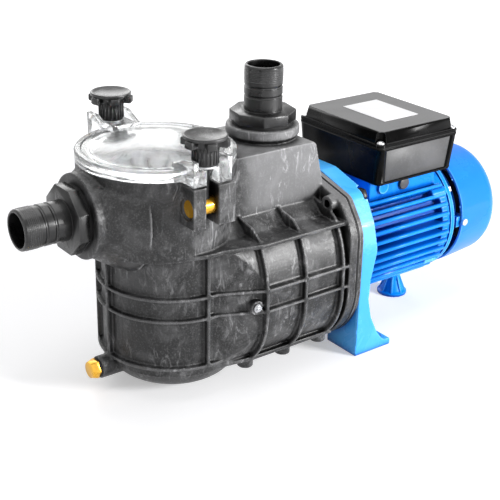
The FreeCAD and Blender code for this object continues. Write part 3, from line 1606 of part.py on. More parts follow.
def build_lid():
    base = d.lid_seat
    rim = d.lid_rim
    glass = d.lid_glass
    radius = d.lid_radius
    crown = rim + d.lid_dome
    profile = [
        (0, crown - glass),
        (radius * 0.3, crown - glass - 1),
        (radius * 0.6, crown - glass - 5),
        (d.rim_bore - 5, 2),
        (d.rim_bore - 3, 0),
        (radius, 0),
        (radius, rim - 1.5),
        (radius - 1.5, rim),
        (radius - 6, rim),
        (radius - 7, rim - 1.2),
        (radius - 11, rim - 1.2),
        (radius - 12, rim),
        (radius - 16, rim + 0.5),
        (radius * 0.62, rim + 5),
        (radius * 0.3, crown - 1),
        (0, crown),
    ]
    dome = turned("lid_dome", profile, (-d.pot_reach, 0, base))
    pieces = [dome]
    slots = []
    for name, side in SIDES.items():
        half = d.ear_width / 2
        parts = [
            block(
                f"{name}_lug",
                (-d.lug_reach - half, d.rim_bore - 8, base),
                (-d.lug_reach + half, d.ear_tip, d.knob_seat),
            )
        ]
        ramp = [
            (d.rim_bore - 16, base + rim - 2),
            (d.ear_tip, base + rim - 2),
            (d.ear_tip, d.knob_seat + d.cheek_rise),
            (d.ear_tip - 14, d.knob_seat + d.cheek_rise),
        ]
        for end, start in (("front", -d.lug_reach - half), ("rear", -d.lug_reach + half - d.cheek_thick)):
            parts.append(padded(f"{name}_{end}_cheek", ramp, d.cheek_thick, (start, 0, 0), "X"))
        lug = fuse(f"{name}_lug_set", parts)
        slot = block(
            f"{name}_lug_slot",
            (-d.lug_reach - d.slot_width / 2, d.knob_spread - 9, base - 1),
            (-d.lug_reach + d.slot_width / 2, d.ear_tip + 1, d.knob_seat + d.cheek_rise + 1),
        )
        if side < 0:
            lug = place_mirrored(f"{name}_lug_flip", lug)
            slot = place_mirrored(f"{name}_slot_flip", slot)
        pieces.append(lug)
        slots.append(slot)
    under = cylinder("lid_under", d.rim_bore - 3, 8, (-d.pot_reach, 0, base - 8))
    keep("strainer_lid", cut("strainer_lid", fuse("lid_solid", pieces), slots + [under]))


def build_knobs():
    for name, side in SIDES.items():
        at_y = side * d.knob_spread
        seat = d.knob_seat
        centre = (-d.lug_reach, at_y, seat)
        node = f"{name}_knob_washer"
        radius = d.stud_radius + d.screw_gap
        keep(node, tube(node, d.stem_radius - 0.5, radius, d.washer_thick, centre))
        seat = seat + d.washer_thick
        top = d.knob_stem + d.knob_head
        profile = [
            (0, 0),
            (d.stem_radius - 1, 0),
            (d.stem_radius, d.knob_stem),
            (d.knob_radius - 4, d.knob_stem),
            (d.knob_radius - 3, d.knob_stem + 2),
            (d.knob_radius - 3, top - 1.5),
            (d.knob_radius - 4.5, top),
            (d.stem_radius + 3, top - 0.5),
            (d.stem_radius - 3, top - 3),
            (0, top - 3),
        ]
        pieces = [turned(f"{name}_knob_core", profile, (-d.lug_reach, at_y, seat))]
        for index in range(6):
            reach = d.knob_radius - 6
            across, up = polar(1, 60 * index + 12)
            at = (-d.lug_reach + reach * across, at_y + reach * up, seat + d.knob_stem)
            pieces.append(cylinder(f"{name}_knob_lobe{index}", 6, d.knob_head - 1.5, at))
        grip = seat - d.nut_height - d.nut_radius + d.stud_grip
        stud_at = (-d.lug_reach, at_y, seat - grip)
        stud_length = grip + d.knob_stem
        bore = cylinder(f"{name}_knob_bore", d.stud_radius, stud_length, stud_at)
        node = f"{name}_knob"
        dish = cylinder(f"{name}_knob_dish", d.stem_radius - 3, 5, (-d.lug_reach, at_y, seat + top - 3))
        keep(node, cut(node, fuse(f"{node}_solid", pieces), [bore, dish]))
        node = f"{name}_knob_stud"
        keep(node, cylinder(node, d.stud_radius, stud_length, stud_at))


def build_basket():
    top = d.lid_seat - d.ledge_depth
    wall = d.basket_wall
    depth = d.basket_depth
    rim = d.basket_rim
    profile = [
        (0, rim - depth),
        (d.basket_foot, rim - depth),
        (d.basket_top, 0),
        (d.rim_bore - 0.5, 0),
        (d.rim_bore - 0.5, rim),
        (d.basket_top - wall, rim),
        (d.basket_foot - wall, rim - depth + wall),
        (0, rim - depth + wall),
    ]
    cup = turned("basket_cup", profile, (-d.pot_reach, 0, top))
    windows = []
    for index in range(8):
        at = (-d.pot_reach, 0, top + rim - depth + 10)
        span = d.basket_top + 5
        windows.append(bar(f"basket_slot{index}", -span, span, 5, depth - 28, at, "Z", 22.5 * index))
    keep("strainer_basket", cut("strainer_basket", cup, windows))
    # A bail of three straight runs, standing on the rim across the basket.
    half = d.basket_top + 3
    rise = d.ledge_depth + 2
    thick = 3
    run = [
        (half, rim),
        (half, rim + thick),
        (14, rise + thick),
        (-14, rise + thick),
        (-half, rim + thick),
        (-half, rim),
        (-half + 9, rim),
        (-13, rise),
        (13, rise),
        (half - 9, rim),
    ]
    width = d.handle_width
    body = padded("basket_handle", run, width, (0, 0, 0), "-Y")
    turn = Rotation(Vector(0, 0, 1), 140)
    body.Placement.Rotation = turn.multiply(FRAMES["-Y"])
    offset = turn.multVec(Vector(0, 1, 0))
    place_base(body, (-d.pot_reach + width / 2 * offset.x, width / 2 * offset.y, top))
    keep("basket_handle", body)


def build_drain():
    axis = d.drain_height
    face = -d.drain_reach
    thread = d.drain_radius
    seat = face - d.washer_thick
    head_length = thread + 1
    bore = thread + d.screw_gap
    keep("drain_seal", tube("drain_seal", thread + 2.5, bore, d.washer_thick, (face, 0, axis), "-X"))
    shank = cylinder("drain_shank", thread, thread + 4, (seat, 0, axis), "X")
    head = prism("drain_head", 6, thread + 3, head_length, (seat, 0, axis), "-X")
    crown = cone("drain_crown", thread + 3.5, thread + 1, head_length, (seat, 0, axis), "-X")
    keep("drain_plug", fuse("drain_plug", [shank, common("drain_hex", [head, crown])]))


build_casing()
build_ports()
build_barrel_nuts()
build_casing_trim()
build_joint_stack()
build_seal()
build_diffuser()
build_impeller()
build_shaft()
build_bearings()
build_bracket()
build_housing()
build_stator()
build_rear_end()
build_fan_cover()
build_fan()
build_prop()
build_terminal_box()
build_lid()
build_knobs()
build_basket()
build_drain()

doc.recompute()
os.makedirs("parts", exist_ok=True)
for thing in doc.Objects:
    if "Invalid" in thing.State or "Error" in thing.State:
        raise RuntimeError(f"{thing.Name} is {thing.State}")
for node, thing in sub_parts.items():
    if thing.Shape.isNull() or not thing.Shape.isValid():
        raise RuntimeError(f"{node} has no valid shape")
    thing.Shape.exportStep(f"parts/{node}.step")
    print(node, len(thing.Shape.Solids), round(thing.Shape.Volume))
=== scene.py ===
import json
import math

import bmesh
import bpy
from mathutils import Matrix, Vector


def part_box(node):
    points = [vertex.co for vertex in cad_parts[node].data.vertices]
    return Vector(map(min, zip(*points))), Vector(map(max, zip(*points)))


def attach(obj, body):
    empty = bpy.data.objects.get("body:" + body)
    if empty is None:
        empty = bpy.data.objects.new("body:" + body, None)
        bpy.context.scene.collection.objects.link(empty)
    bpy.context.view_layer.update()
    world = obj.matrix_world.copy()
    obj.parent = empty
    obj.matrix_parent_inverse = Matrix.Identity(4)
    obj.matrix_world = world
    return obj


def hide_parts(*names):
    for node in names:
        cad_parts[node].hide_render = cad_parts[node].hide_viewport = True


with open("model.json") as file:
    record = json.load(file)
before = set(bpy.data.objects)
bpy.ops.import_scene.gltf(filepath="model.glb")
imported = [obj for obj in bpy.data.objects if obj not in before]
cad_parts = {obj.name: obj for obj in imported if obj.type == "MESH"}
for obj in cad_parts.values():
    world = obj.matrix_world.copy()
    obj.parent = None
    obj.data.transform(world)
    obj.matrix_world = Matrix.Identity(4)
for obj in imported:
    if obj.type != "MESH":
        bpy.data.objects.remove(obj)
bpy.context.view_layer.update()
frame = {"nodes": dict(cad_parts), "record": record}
nodes = frame["nodes"]
bodies = frame["record"]["behaviour"]["bodies"]
bodyOf = {node: body for body, members in bodies.items() for node in members}
slotOf = {part["node"]: part["material_slot"] for part in frame["record"]["subparts"]}
print("frame loaded:", len(nodes), "nodes")


# Node trees: values or sockets are fed to the named inputs.
class Graph:
    def __init__(self, tree):
        self.tree = tree

    def add(self, kind, feeds=None, **settings):
        node = self.tree.nodes.new(kind)
        for key, value in settings.items():
            setattr(node, key, value)
        for key, value in (feeds or {}).items():
            if isinstance(value, bpy.types.NodeSocket):
                self.tree.links.new(value, node.inputs[key])
            else:
                node.inputs[key].default_value = value
        return node

    def noise(self, vector, scale, detail=4, roughness=0.55, distortion=0.0):
        node = self.add("ShaderNodeTexNoise", {"Vector": vector, "Scale": scale, "Detail": detail})
        node.inputs["Roughness"].default_value = roughness
        node.inputs["Distortion"].default_value = distortion
        return node.outputs["Fac"]

    def math(self, operation, first, second=0.0, clamp=False):
        node = self.add("ShaderNodeMath", {0: first, 1: second}, operation=operation, use_clamp=clamp)
        return node.outputs[0]

    def ramp(self, value, low, high, start=0.0, end=1.0):
        feeds = {"Value": value, "From Min": low, "From Max": high, "To Min": start, "To Max": end}
        node = self.add("ShaderNodeMapRange", feeds, interpolation_type="SMOOTHSTEP")
        return node.outputs["Result"]

    def mix(self, factor, first, second, blend="MIX"):
        # Sockets 0, 6 and 7 are the factor and the two colours, and output 2 is the mixed colour.
        feeds = {0: factor, 6: first, 7: second}
        return self.add("ShaderNodeMix", feeds, data_type="RGBA", blend_type=blend).outputs[2]

    def scaled(self, vector, factors):
        return self.add("ShaderNodeVectorMath", {0: vector, 1: factors}, operation="MULTIPLY").outputs[0]


# A shader group with number inputs and number outputs, and its object coordinates.
def startGroup(name, inputs, outputs):
    tree = bpy.data.node_groups.new(name, "ShaderNodeTree")
    for label, value in inputs.items():
        socket = tree.interface.new_socket(name=label, in_out="INPUT", socket_type="NodeSocketFloat")
        socket.default_value = value
    for label in outputs:
        tree.interface.new_socket(name=label, in_out="OUTPUT", socket_type="NodeSocketFloat")
    graph = Graph(tree)
    source = graph.add("NodeGroupInput").outputs
    sink = graph.add("NodeGroupOutput").inputs
    spot = graph.add("ShaderNodeTexCoord").outputs["Object"]
    return graph, source, sink, spot


# Pale patches, smeared upright chalk and fine specks, as on filled plastic with mould bloom.
def makeMottle():
    labels = {"Patch Scale": 26.0, "Streak Scale": 120.0, "Speck Scale": 520.0}
    graph, source, sink, spot = startGroup("mottle", labels, ["Patches", "Chalk", "Specks"])
    link = graph.tree.links.new
    clouds = graph.noise(spot, source["Patch Scale"], detail=5, roughness=0.6, distortion=0.9)
    link(graph.ramp(clouds, low=0.44, high=0.68), sink["Patches"])
    upright = graph.scaled(spot, (1.0, 1.0, 0.35))
    streaks = graph.noise(upright, source["Streak Scale"], detail=6, roughness=0.72, distortion=1.4)
    smears = graph.ramp(streaks, low=0.5, high=0.74)
    drifts = graph.noise(spot, source["Patch Scale"], detail=3, roughness=0.5)
    gathered = graph.ramp(drifts, low=0.42, high=0.62, start=0.15)
    link(graph.math("MULTIPLY", smears, gathered), sink["Chalk"])
    specks = graph.noise(spot, source["Speck Scale"], detail=3, roughness=0.7)
    link(graph.ramp(specks, low=0.5, high=0.7), sink["Specks"])
    return graph.tree


# Painted shade in the roots and creases and painted highlights along the edges, found from how closed in a
# point is.
def makeEdges():
    labels = {"Root Reach": 0.007, "Edge Reach": 0.0025}
    graph, source, sink, spot = startGroup("edges", labels, ["Roots", "Edge Highlight"])
    link = graph.tree.links.new
    reach = {"Distance": source["Root Reach"]}
    outside = graph.add("ShaderNodeAmbientOcclusion", reach, samples=8)
    link(graph.ramp(outside.outputs["AO"], low=0.9, high=0.38), sink["Roots"])
    reach = {"Distance": source["Edge Reach"]}
    inside = graph.add("ShaderNodeAmbientOcclusion", reach, samples=8, inside=True)
    link(graph.ramp(inside.outputs["AO"], low=0.88, high=0.5), sink["Edge Highlight"])
    return graph.tree


# Height of a fine moulded or cast skin.
def makeSkin():
    labels = {"Grain Scale": 1200.0, "Wave Scale": 60.0, "Wave": 0.5}
    graph, source, sink, spot = startGroup("skin", labels, ["Height"])
    grain = graph.noise(spot, source["Grain Scale"], detail=3, roughness=0.6)
    wave = graph.noise(spot, source["Wave Scale"], detail=3, roughness=0.5)
    waved = graph.math("MULTIPLY", wave, source["Wave"])
    graph.tree.links.new(graph.math("ADD", grain, waved), sink["Height"])
    return graph.tree


mottle = makeMottle()
edges = makeEdges()
skin = makeSkin()


# A grey with a trace of blue, as an RGBA colour.
def grey(level):
    return (level, level, level * 1.02, 1.0)


# What a finish takes for the sockets that its look doesn't name.
groupDefaults = (
    ("Grain Scale", "grainScale", 1200.0), ("Wave Scale", "waveScale", 60.0), ("Wave", "wave", 0.5),
)
bumpDefaults = (("Strength", "bump", 0.2), ("Distance", "bumpDepth", 0.0004))
shaderDefaults = (
    ("Metallic", "metal", 0.0), ("Coat Weight", "coat", 0.0), ("Coat Roughness", "coatRoughness", 0.08),
    ("Specular IOR Level", "specular", 0.5), ("Transmission Weight", "clear", 0.0), ("IOR", "ior", 1.5),
    ("Subsurface Weight", "soft", 0.0), ("Subsurface Scale", "softDepth", 0.002),
)


def fill(node, look, defaults):
    for label, key, usual in defaults:
        node.inputs[label].default_value = look.get(key, usual)


# One finish: base colour with mottling, a streaked painted sheen, painted highlights on edges, painted shade
# in the roots and a skin.
def makeFinish(name, look):
    made = bpy.data.materials.new(name)
    made.use_nodes = True
    graph = Graph(made.node_tree)
    shader = made.node_tree.nodes["Principled BSDF"]
    link = made.node_tree.links.new
    marks = graph.add("ShaderNodeGroup", node_tree=mottle)
    if "patchScale" in look:
        marks.inputs["Patch Scale"].default_value = look["patchScale"]
    colour = graph.mix(marks.outputs["Patches"], look["base"], look.get("patch", look["base"]))
    for output, key in (("Chalk", "chalk"), ("Specks", "speck")):
        if key in look:
            amount = graph.math("MULTIPLY", marks.outputs[output], look[key + "Amount"])
            colour = graph.mix(amount, colour, look[key])
    # Painted sheen: a pale streaked patch laid on the lit face of the discharge tower.
    if "towerSheen" in look:
        spot = graph.add("ShaderNodeTexCoord").outputs["Object"]
        parts = graph.add("ShaderNodeSeparateXYZ", {0: spot}).outputs
        along = graph.ramp(parts[0], *look["towerSheenAlong"])
        up = graph.ramp(parts[2], *look["towerSheenUp"])
        inPlace = graph.math("MULTIPLY", along, up)
        streaked = graph.ramp(marks.outputs["Chalk"], low=0.0, high=0.5, start=look["towerSheenAmount"])
        colour = graph.mix(graph.math("MULTIPLY", inPlace, streaked), colour, look["towerSheen"])
    if "root" in look or "edgeHighlight" in look:
        lines = graph.add("ShaderNodeGroup", node_tree=edges)
        fill(lines, look, (("Root Reach", "rootReach", 0.007), ("Edge Reach", "edgeReach", 0.0025)))
        # Painted highlight: a pale colour laid on edges and crests where they catch the light.
        if "edgeHighlight" in look:
            broken = graph.ramp(marks.outputs["Chalk"], low=0.0, high=0.6, start=0.45)
            litEdges = graph.math("MULTIPLY", lines.outputs["Edge Highlight"], broken)
            colour = graph.mix(graph.math("MULTIPLY", litEdges, look["edgeHighlightAmount"]), colour, look["edgeHighlight"])
        # Painted shade: the root colour darkens roots, creases and valleys where shade falls.
        if "root" in look:
            amount = graph.math("MULTIPLY", lines.outputs["Roots"], look.get("rootAmount", 0.8))
            colour = graph.mix(amount, colour, look["root"])
    link(colour, shader.inputs["Base Color"])
    low, high = look["roughness"]
    link(graph.ramp(marks.outputs["Patches"], 0.0, 1.0, low, high), shader.inputs["Roughness"])
    relief = graph.add("ShaderNodeGroup", node_tree=skin)
    fill(relief, look, groupDefaults)
    bump = graph.add("ShaderNodeBump", {"Height": relief.outputs["Height"]})
    fill(bump, look, bumpDefaults)
    link(bump.outputs["Normal"], shader.inputs["Normal"])
    fill(shader, look, shaderDefaults)
    return made


# In each look, root is the colour of painted shade in roots and creases, and edgeHighlight the colour of a
# painted highlight on edges.
finishes = {
    "casingPlastic": {
        "base": grey(0.015), "patch": grey(0.09), "chalk": grey(0.55), "chalkAmount": 0.6,
        # The painted sheen, streaked by the chalk, lies on the discharge tower: it comes up along X and up Z
        # between these places.
        "towerSheen": grey(0.4), "towerSheenAmount": 0.4, "towerSheenAlong": (-0.155, -0.13), "towerSheenUp": (0.158, 0.178),
        "speck": grey(0.26), "speckAmount": 0.25, "root": grey(0.001), "rootAmount": 1.0, "rootReach": 0.014,
        "edgeHighlight": grey(0.55), "edgeHighlightAmount": 0.85, "roughness": (0.36, 0.56), "bump": 0.45, "specular": 0.4,
        "waveScale": 90.0,
    },
    "tailPlastic": {
        "base": grey(0.004), "patch": grey(0.011), "chalk": grey(0.16), "chalkAmount": 0.22,
        "root": grey(0.001), "edgeHighlight": grey(0.25), "edgeHighlightAmount": 0.4, "roughness": (0.26, 0.4), "bump": 0.15,
    },
    "knobPlastic": {
        "base": grey(0.007), "patch": grey(0.016), "speck": grey(0.12), "speckAmount": 0.2,
        "root": grey(0.001), "edgeHighlight": grey(0.22), "edgeHighlightAmount": 0.45, "roughness": (0.26, 0.4), "bump": 0.2,
    },
    "bluePaint": {
        "base": (0.001, 0.23, 0.86, 1), "patch": (0.003, 0.27, 0.91, 1), "root": (0.0, 0.06, 0.36, 1),
        "rootAmount": 1.0, "rootReach": 0.016, "edgeHighlight": (0.3, 0.85, 1.0, 1), "edgeHighlightAmount": 0.95,
        "edgeReach": 0.0022, "patchScale": 14.0, "roughness": (0.26, 0.34), "bump": 0.22, "waveScale": 140.0,
        "specular": 0.12, "coat": 0.04, "coatRoughness": 0.12,
    },
    # A paler copy of bluePaint for the bracket: painted light, for the bracket's brightly lit faces.
    "bracketLitPaint": {
        "base": (0.05, 0.4, 0.94, 1), "patch": (0.08, 0.46, 0.96, 1), "root": (0.0, 0.07, 0.5, 1),
        "rootAmount": 0.8, "rootReach": 0.012, "edgeHighlight": (0.5, 0.92, 1.0, 1), "edgeHighlightAmount": 0.8,
        "edgeReach": 0.0022, "patchScale": 12.0, "roughness": (0.26, 0.34), "bump": 0.22, "waveScale": 140.0,
        "specular": 0.3, "coat": 0.1,
    },
    "skyPaint": {
        "base": (0.005, 0.19, 0.8, 1), "patch": (0.008, 0.22, 0.84, 1), "patchScale": 8.0,
        "edgeHighlight": (0.3, 0.8, 1.0, 1), "edgeHighlightAmount": 0.6, "roughness": (0.26, 0.32), "bump": 0.06, "coat": 0.1,
        "coatRoughness": 0.12, "specular": 0.2,
    },
    "boxPlastic": {
        "base": grey(0.0015), "patch": grey(0.004), "edgeHighlight": grey(0.3), "edgeHighlightAmount": 0.35,
        "edgeReach": 0.0012, "roughness": (0.2, 0.28), "bump": 0.05, "specular": 0.07,
    },
    # Mid grey for the cap's top panel: a painted sheen on the box's black plastic.
    "capTopSheen": {
        "base": grey(0.1), "patch": grey(0.16), "patchScale": 10.0, "roughness": (0.3, 0.4), "bump": 0.15,
        "specular": 0.5,
    },
    # Grey for the side panels: a painted sheen on the box's black plastic.
    "panelSheen": {
        "base": grey(0.08), "patch": grey(0.11), "speck": grey(0.16), "speckAmount": 0.3, "patchScale": 12.0,
        "roughness": (0.42, 0.5), "bump": 0.25, "specular": 0.3,
    },
    "brass": {
        "base": (0.82, 0.42, 0.03, 1), "patch": (0.92, 0.52, 0.07, 1), "metal": 0.7,
        "roughness": (0.22, 0.34), "bump": 0.1, "root": (0.25, 0.1, 0.01, 1), "rootReach": 0.003,
    },
    "zinc": {
        "base": (0.62, 0.63, 0.65, 1), "patch": (0.75, 0.75, 0.76, 1), "metal": 1.0,
        "roughness": (0.3, 0.4), "bump": 0.1, "root": grey(0.03), "rootReach": 0.002,
    },
    "steel": {
        "base": (0.5, 0.51, 0.53, 1), "patch": (0.62, 0.62, 0.63, 1), "metal": 1.0, "roughness": (0.2, 0.3),
        "bump": 0.06,
    },
    "darkSteel": {
        "base": grey(0.02), "patch": grey(0.04), "metal": 0.8, "roughness": (0.35, 0.5), "bump": 0.1,
    },
    "lamination": {
        "base": grey(0.2), "patch": grey(0.3), "metal": 1.0, "roughness": (0.4, 0.55), "bump": 0.2,
    },
    "copper": {
        "base": (0.6, 0.24, 0.09, 1), "patch": (0.75, 0.33, 0.14, 1), "metal": 1.0, "roughness": (0.3, 0.45),
        "bump": 0.3,
    },
    "rubber": {
        "base": grey(0.006), "patch": grey(0.014), "roughness": (0.6, 0.75), "bump": 0.2, "specular": 0.3,
    },
    "sealCeramic": {"base": grey(0.12), "patch": grey(0.18), "roughness": (0.2, 0.3), "bump": 0.05},
    "basketPlastic": {
        "base": grey(0.78), "patch": grey(0.86), "root": grey(0.35), "rootAmount": 0.6,
        "roughness": (0.3, 0.45), "bump": 0.1, "soft": 0.15,
    },
    "handlePlastic": {
        "base": grey(0.03), "patch": grey(0.06), "roughness": (0.3, 0.4), "bump": 0.1, "root": grey(0.005),
    },
    "innerPlastic": {"base": grey(0.02), "patch": grey(0.045), "roughness": (0.4, 0.5), "bump": 0.15},
    "labelPaper": {"base": grey(0.86), "patch": grey(0.92), "roughness": (0.4, 0.5), "bump": 0.03},
    "canMetal": {
        "base": grey(0.7), "patch": grey(0.8), "metal": 1.0, "roughness": (0.25, 0.35), "bump": 0.05,
    },
    "ivoryPlastic": {
        "base": (0.7, 0.66, 0.5, 1), "patch": (0.76, 0.72, 0.56, 1), "roughness": (0.35, 0.45), "bump": 0.08,
    },
    "glandPlastic": {
        "base": (0.05, 0.05, 0.055, 1), "patch": (0.09, 0.085, 0.085, 1), "roughness": (0.3, 0.5),
        "bump": 0.15, "root": grey(0.003),
    },
    "clearPlastic": {
        "base": (0.97, 0.985, 0.99, 1), "patch": (1, 1, 1, 1), "clear": 0.93, "ior": 1.45,
        "roughness": (0.03, 0.09), "bump": 0.12, "waveScale": 70.0, "wave": 3.0,
    },
}
material = {name: makeFinish(name, look) for name, look in finishes.items()}
finishOf = {
    "casing_plastic": "casingPlastic", "tail_plastic": "tailPlastic", "knob_plastic": "knobPlastic",
    "clear_plastic": "clearPlastic", "basket_plastic": "basketPlastic", "inner_plastic": "innerPlastic",
    "brass": "brass", "steel": "steel", "zinc_screw": "zinc", "lamination": "lamination", "winding": "copper",
    "rubber": "rubber", "seal_face": "sealCeramic", "blue_casting": "bluePaint", "blue_cover": "skyPaint",
    "box_plastic": "boxPlastic", "label": "labelPaper", "capacitor_can": "canMetal",
    "terminal_plastic": "ivoryPlastic", "gland_plastic": "glandPlastic", "fan_plastic": "innerPlastic",
}
for node, thing in nodes.items():
    thing.data.materials.clear()
    thing.data.materials.append(material[finishOf[slotOf[node]]])
print("finishes made:", len(material))


# A visible piece: finished, and riding on the body of the first node that it stands for. With like it
# takes the body and slot of that node and replaces none.
def addPiece(name, mesh, *stoodFor, like=None, finish=None):
    node = like or stoodFor[0]
    thing = bpy.data.objects.new(name, mesh)
    bpy.context.scene.collection.objects.link(thing)
    mesh.materials.clear()
    mesh.materials.append(material[finish or finishOf[slotOf[node]]])
    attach(thing, bodyOf[node])
    if stoodFor:
        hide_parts(*stoodFor)
    return thing


# The result of a list of modifiers on a mesh, each given as (type, settings).
def modified(mesh, steps):
    holder = bpy.data.objects.new("holder", mesh)
    bpy.context.scene.collection.objects.link(holder)
    for kind, settings in steps:
        modifier = holder.modifiers.new(kind, kind)
        for key, value in settings.items():
            setattr(modifier, key, value)
    graph = bpy.context.evaluated_depsgraph_get()
    result = bpy.data.meshes.new_from_object(holder.evaluated_get(graph))
    bpy.data.objects.remove(holder)
    return result


evenNormals = ("WEIGHTED_NORMAL", {"weight": 50})
weldGap = 0.00001
flatAngle = math.radians(0.6)


# Edges sharper than the angle, in degrees, get a small round.
def softEdges(mesh, width, segments=3, angle=28):
    bevel = {
        "width": width, "segments": segments, "limit_method": "ANGLE", "angle_limit": math.radians(angle),
    }
    result = modified(mesh, [("BEVEL", bevel), evenNormals])
    result.shade_smooth()
    return result


def toMesh(work, name):
    mesh = bpy.data.meshes.new(name)
    work.to_mesh(mesh)
    work.free()
    return mesh


# A node's own form with its flat faces whole again.
def mergedCopy(node):
    mesh = nodes[node].data.copy()
    work = bmesh.new()
    work.from_mesh(mesh)
    bmesh.ops.remove_doubles(work, verts=work.verts, dist=weldGap)
    bmesh.ops.dissolve_limit(work, angle_limit=flatAngle, verts=work.verts, edges=work.edges)
    work.to_mesh(mesh)
    work.free()
    return mesh


def sealed(work, name):
    bmesh.ops.remove_doubles(work, verts=work.verts, dist=weldGap)
    bmesh.ops.recalc_face_normals(work, faces=work.faces)
    return toMesh(work, name)


# A closed shape through rings of points, each with the same number of them. Given a work mesh, the
# shape is added to that one instead of being made into a mesh of its own.
def lofted(name, rings, work=None):
    started = work is None
    work = work or bmesh.new()
    rows = [[work.verts.new(point) for point in ring] for ring in rings]
    count = len(rows[0])
    for low, high in zip(rows, rows[1:]):
        for index in range(count):
            after = (index + 1) % count
            work.faces.new((low[index], low[after], high[after], high[index]))
    work.faces.new(list(reversed(rows[0])))
    work.faces.new(rows[-1])
    return sealed(work, name) if started else None


# Nodes that are one moulding, as one mesh: the faces on the plane between them go first.
seam = {"plane": 0.00002, "weld": 0.00003}


def joinedCopy(members):
    work = bmesh.new()
    for node in members:
        work.from_mesh(nodes[node].data)
    if len(members) > 1:
        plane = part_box(members[0])[0][0]
        inner = []
        for face in work.faces:
            if all(abs(corner.co.x - plane) < seam["plane"] for corner in face.verts):
                inner.append(face)
        bmesh.ops.delete(work, geom=inner, context="FACES")
    bmesh.ops.remove_doubles(work, verts=work.verts, dist=seam["weld"])
    return toMesh(work, "joined")


# Castings and mouldings: the same form with soft edges and rounded roots.
castings = {
    "casing": {"nodes": ["pump_body", "strainer_pot"], "voxel": 0.0009, "rounds": 3, "triangles": 190000},
    "bracket": {
        "nodes": ["motor_bracket"], "voxel": 0.0011, "rounds": 3, "triangles": 90000,
        "finish": "bracketLitPaint",
    },
    "propFoot": {"nodes": ["support_foot"], "voxel": 0.0005, "rounds": 2, "triangles": 30000},
}


def castFrom(mesh, cast):
    coarse = 1.0
    remesh = ("REMESH", {"mode": "VOXEL", "voxel_size": cast["voxel"] * coarse})
    mesh = modified(mesh, [remesh, ("SMOOTH", {"factor": 0.5, "iterations": cast["rounds"]})])
    share = min(1.0, cast["triangles"] / (2 * len(mesh.polygons)))
    mesh = modified(mesh, [("DECIMATE", {"ratio": share}), evenNormals])
    mesh.shade_smooth()
    return mesh


def makeCastings():
    for name, cast in castings.items():
        mesh = castFrom(joinedCopy(cast["nodes"]), cast)
        addPiece(name, mesh, *cast["nodes"], finish=cast.get("finish"))
        print(name, "softened:", len(mesh.polygons), "faces")


# Machined and moulded pieces whose edges are broken by a small round.
rounded = {
    "suctionTail": {"node": "suction_hose_tail", "width": 0.0008},
    "dischargeTail": {"node": "discharge_hose_tail", "width": 0.0008},
    "lidGlass": {"node": "strainer_lid", "width": 0.0009},
    "coverShell": {"node": "fan_cover", "width": 0.0005},
    "endShield": {"node": "rear_endshield", "width": 0.0008},
    "drainHead": {"node": "drain_plug", "width": 0.0005},
    "basketCup": {"node": "strainer_basket", "width": 0.0004},
    "basketBail": {"node": "basket_handle", "width": 0.0009, "finish": "handlePlastic"},
    "sealPlate": {"node": "seal_plate", "width": 0.0005},
    "leftNut": {"node": "left_barrel_nut", "width": 0.0009},
    "rightNut": {"node": "right_barrel_nut", "width": 0.0009},
    "glandHead": {"node": "cable_gland", "width": 0.0008},
    "sideScrew": {"node": "side_screw", "width": 0.0003, "finish": "steel"},
    "boltHeads": {"node": "flange_bolts", "width": 0.0004, "finish": "darkSteel"},
    # The studs take dark steel as painted shade, for the shadow they sit in within the fork's slot.
    "leftStud": {"node": "left_knob_stud", "width": 0.0003, "finish": "darkSteel"},
    "rightStud": {"node": "right_knob_stud", "width": 0.0003, "finish": "darkSteel"},
}


def makeRounded():
    for name, part in rounded.items():
        mesh = softEdges(mergedCopy(part["node"]), part["width"])
        addPiece(name, mesh, part["node"], finish=part.get("finish"))
    print("rounded pieces:", len(rounded))


# Node trees that make geometry: inputs are named, and each tree ends in real, finished faces.
def startTree(name, inputs):
    tree = bpy.data.node_groups.new(name, "GeometryNodeTree")
    tree.interface.new_socket(name="Geometry", in_out="INPUT", socket_type="NodeSocketGeometry")
    for label, value in inputs.items():
        kind = "NodeSocketInt" if isinstance(value, int) else "NodeSocketFloat"
        socket = tree.interface.new_socket(name=label, in_out="INPUT", socket_type=kind)
        socket.default_value = value
    tree.interface.new_socket(name="Finish", in_out="INPUT", socket_type="NodeSocketMaterial")
    tree.interface.new_socket(name="Geometry", in_out="OUTPUT", socket_type="NodeSocketGeometry")
    graph = Graph(tree)
    return graph, graph.add("NodeGroupInput").outputs, graph.add("NodeGroupOutput").inputs


def endTree(graph, source, sink, geometry):
    real = graph.add("GeometryNodeRealizeInstances", {"Geometry": geometry}).outputs[0]
    smooth = graph.add("GeometryNodeSetShadeSmooth", {"Geometry": real}).outputs[0]
    finished = graph.add("GeometryNodeSetMaterial", {"Geometry": smooth, "Material": source["Finish"]})
    graph.tree.links.new(finished.outputs[0], sink["Geometry"])
    return graph.tree


# Runs a tree on a base mesh, or on nothing, and gives back a plain mesh.
def grown(tree, values, finish, base=None):
    mesh = base or bpy.data.meshes.new("seed")
    holder = bpy.data.objects.new("holder", mesh)
    bpy.context.scene.collection.objects.link(holder)
    modifier = holder.modifiers.new("nodes", "NODES")
    modifier.node_group = tree
    for item in tree.interface.items_tree:
        if item.in_out == "INPUT" and item.name in values:
            modifier[item.identifier] = values[item.name]
        if item.in_out == "INPUT" and item.name == "Finish":
            modifier[item.identifier] = material[finish]
    graph = bpy.context.evaluated_depsgraph_get()
    result = bpy.data.meshes.new_from_object(holder.evaluated_get(graph))
    holder.modifiers.remove(modifier)
    bpy.data.objects.remove(holder)
    return result


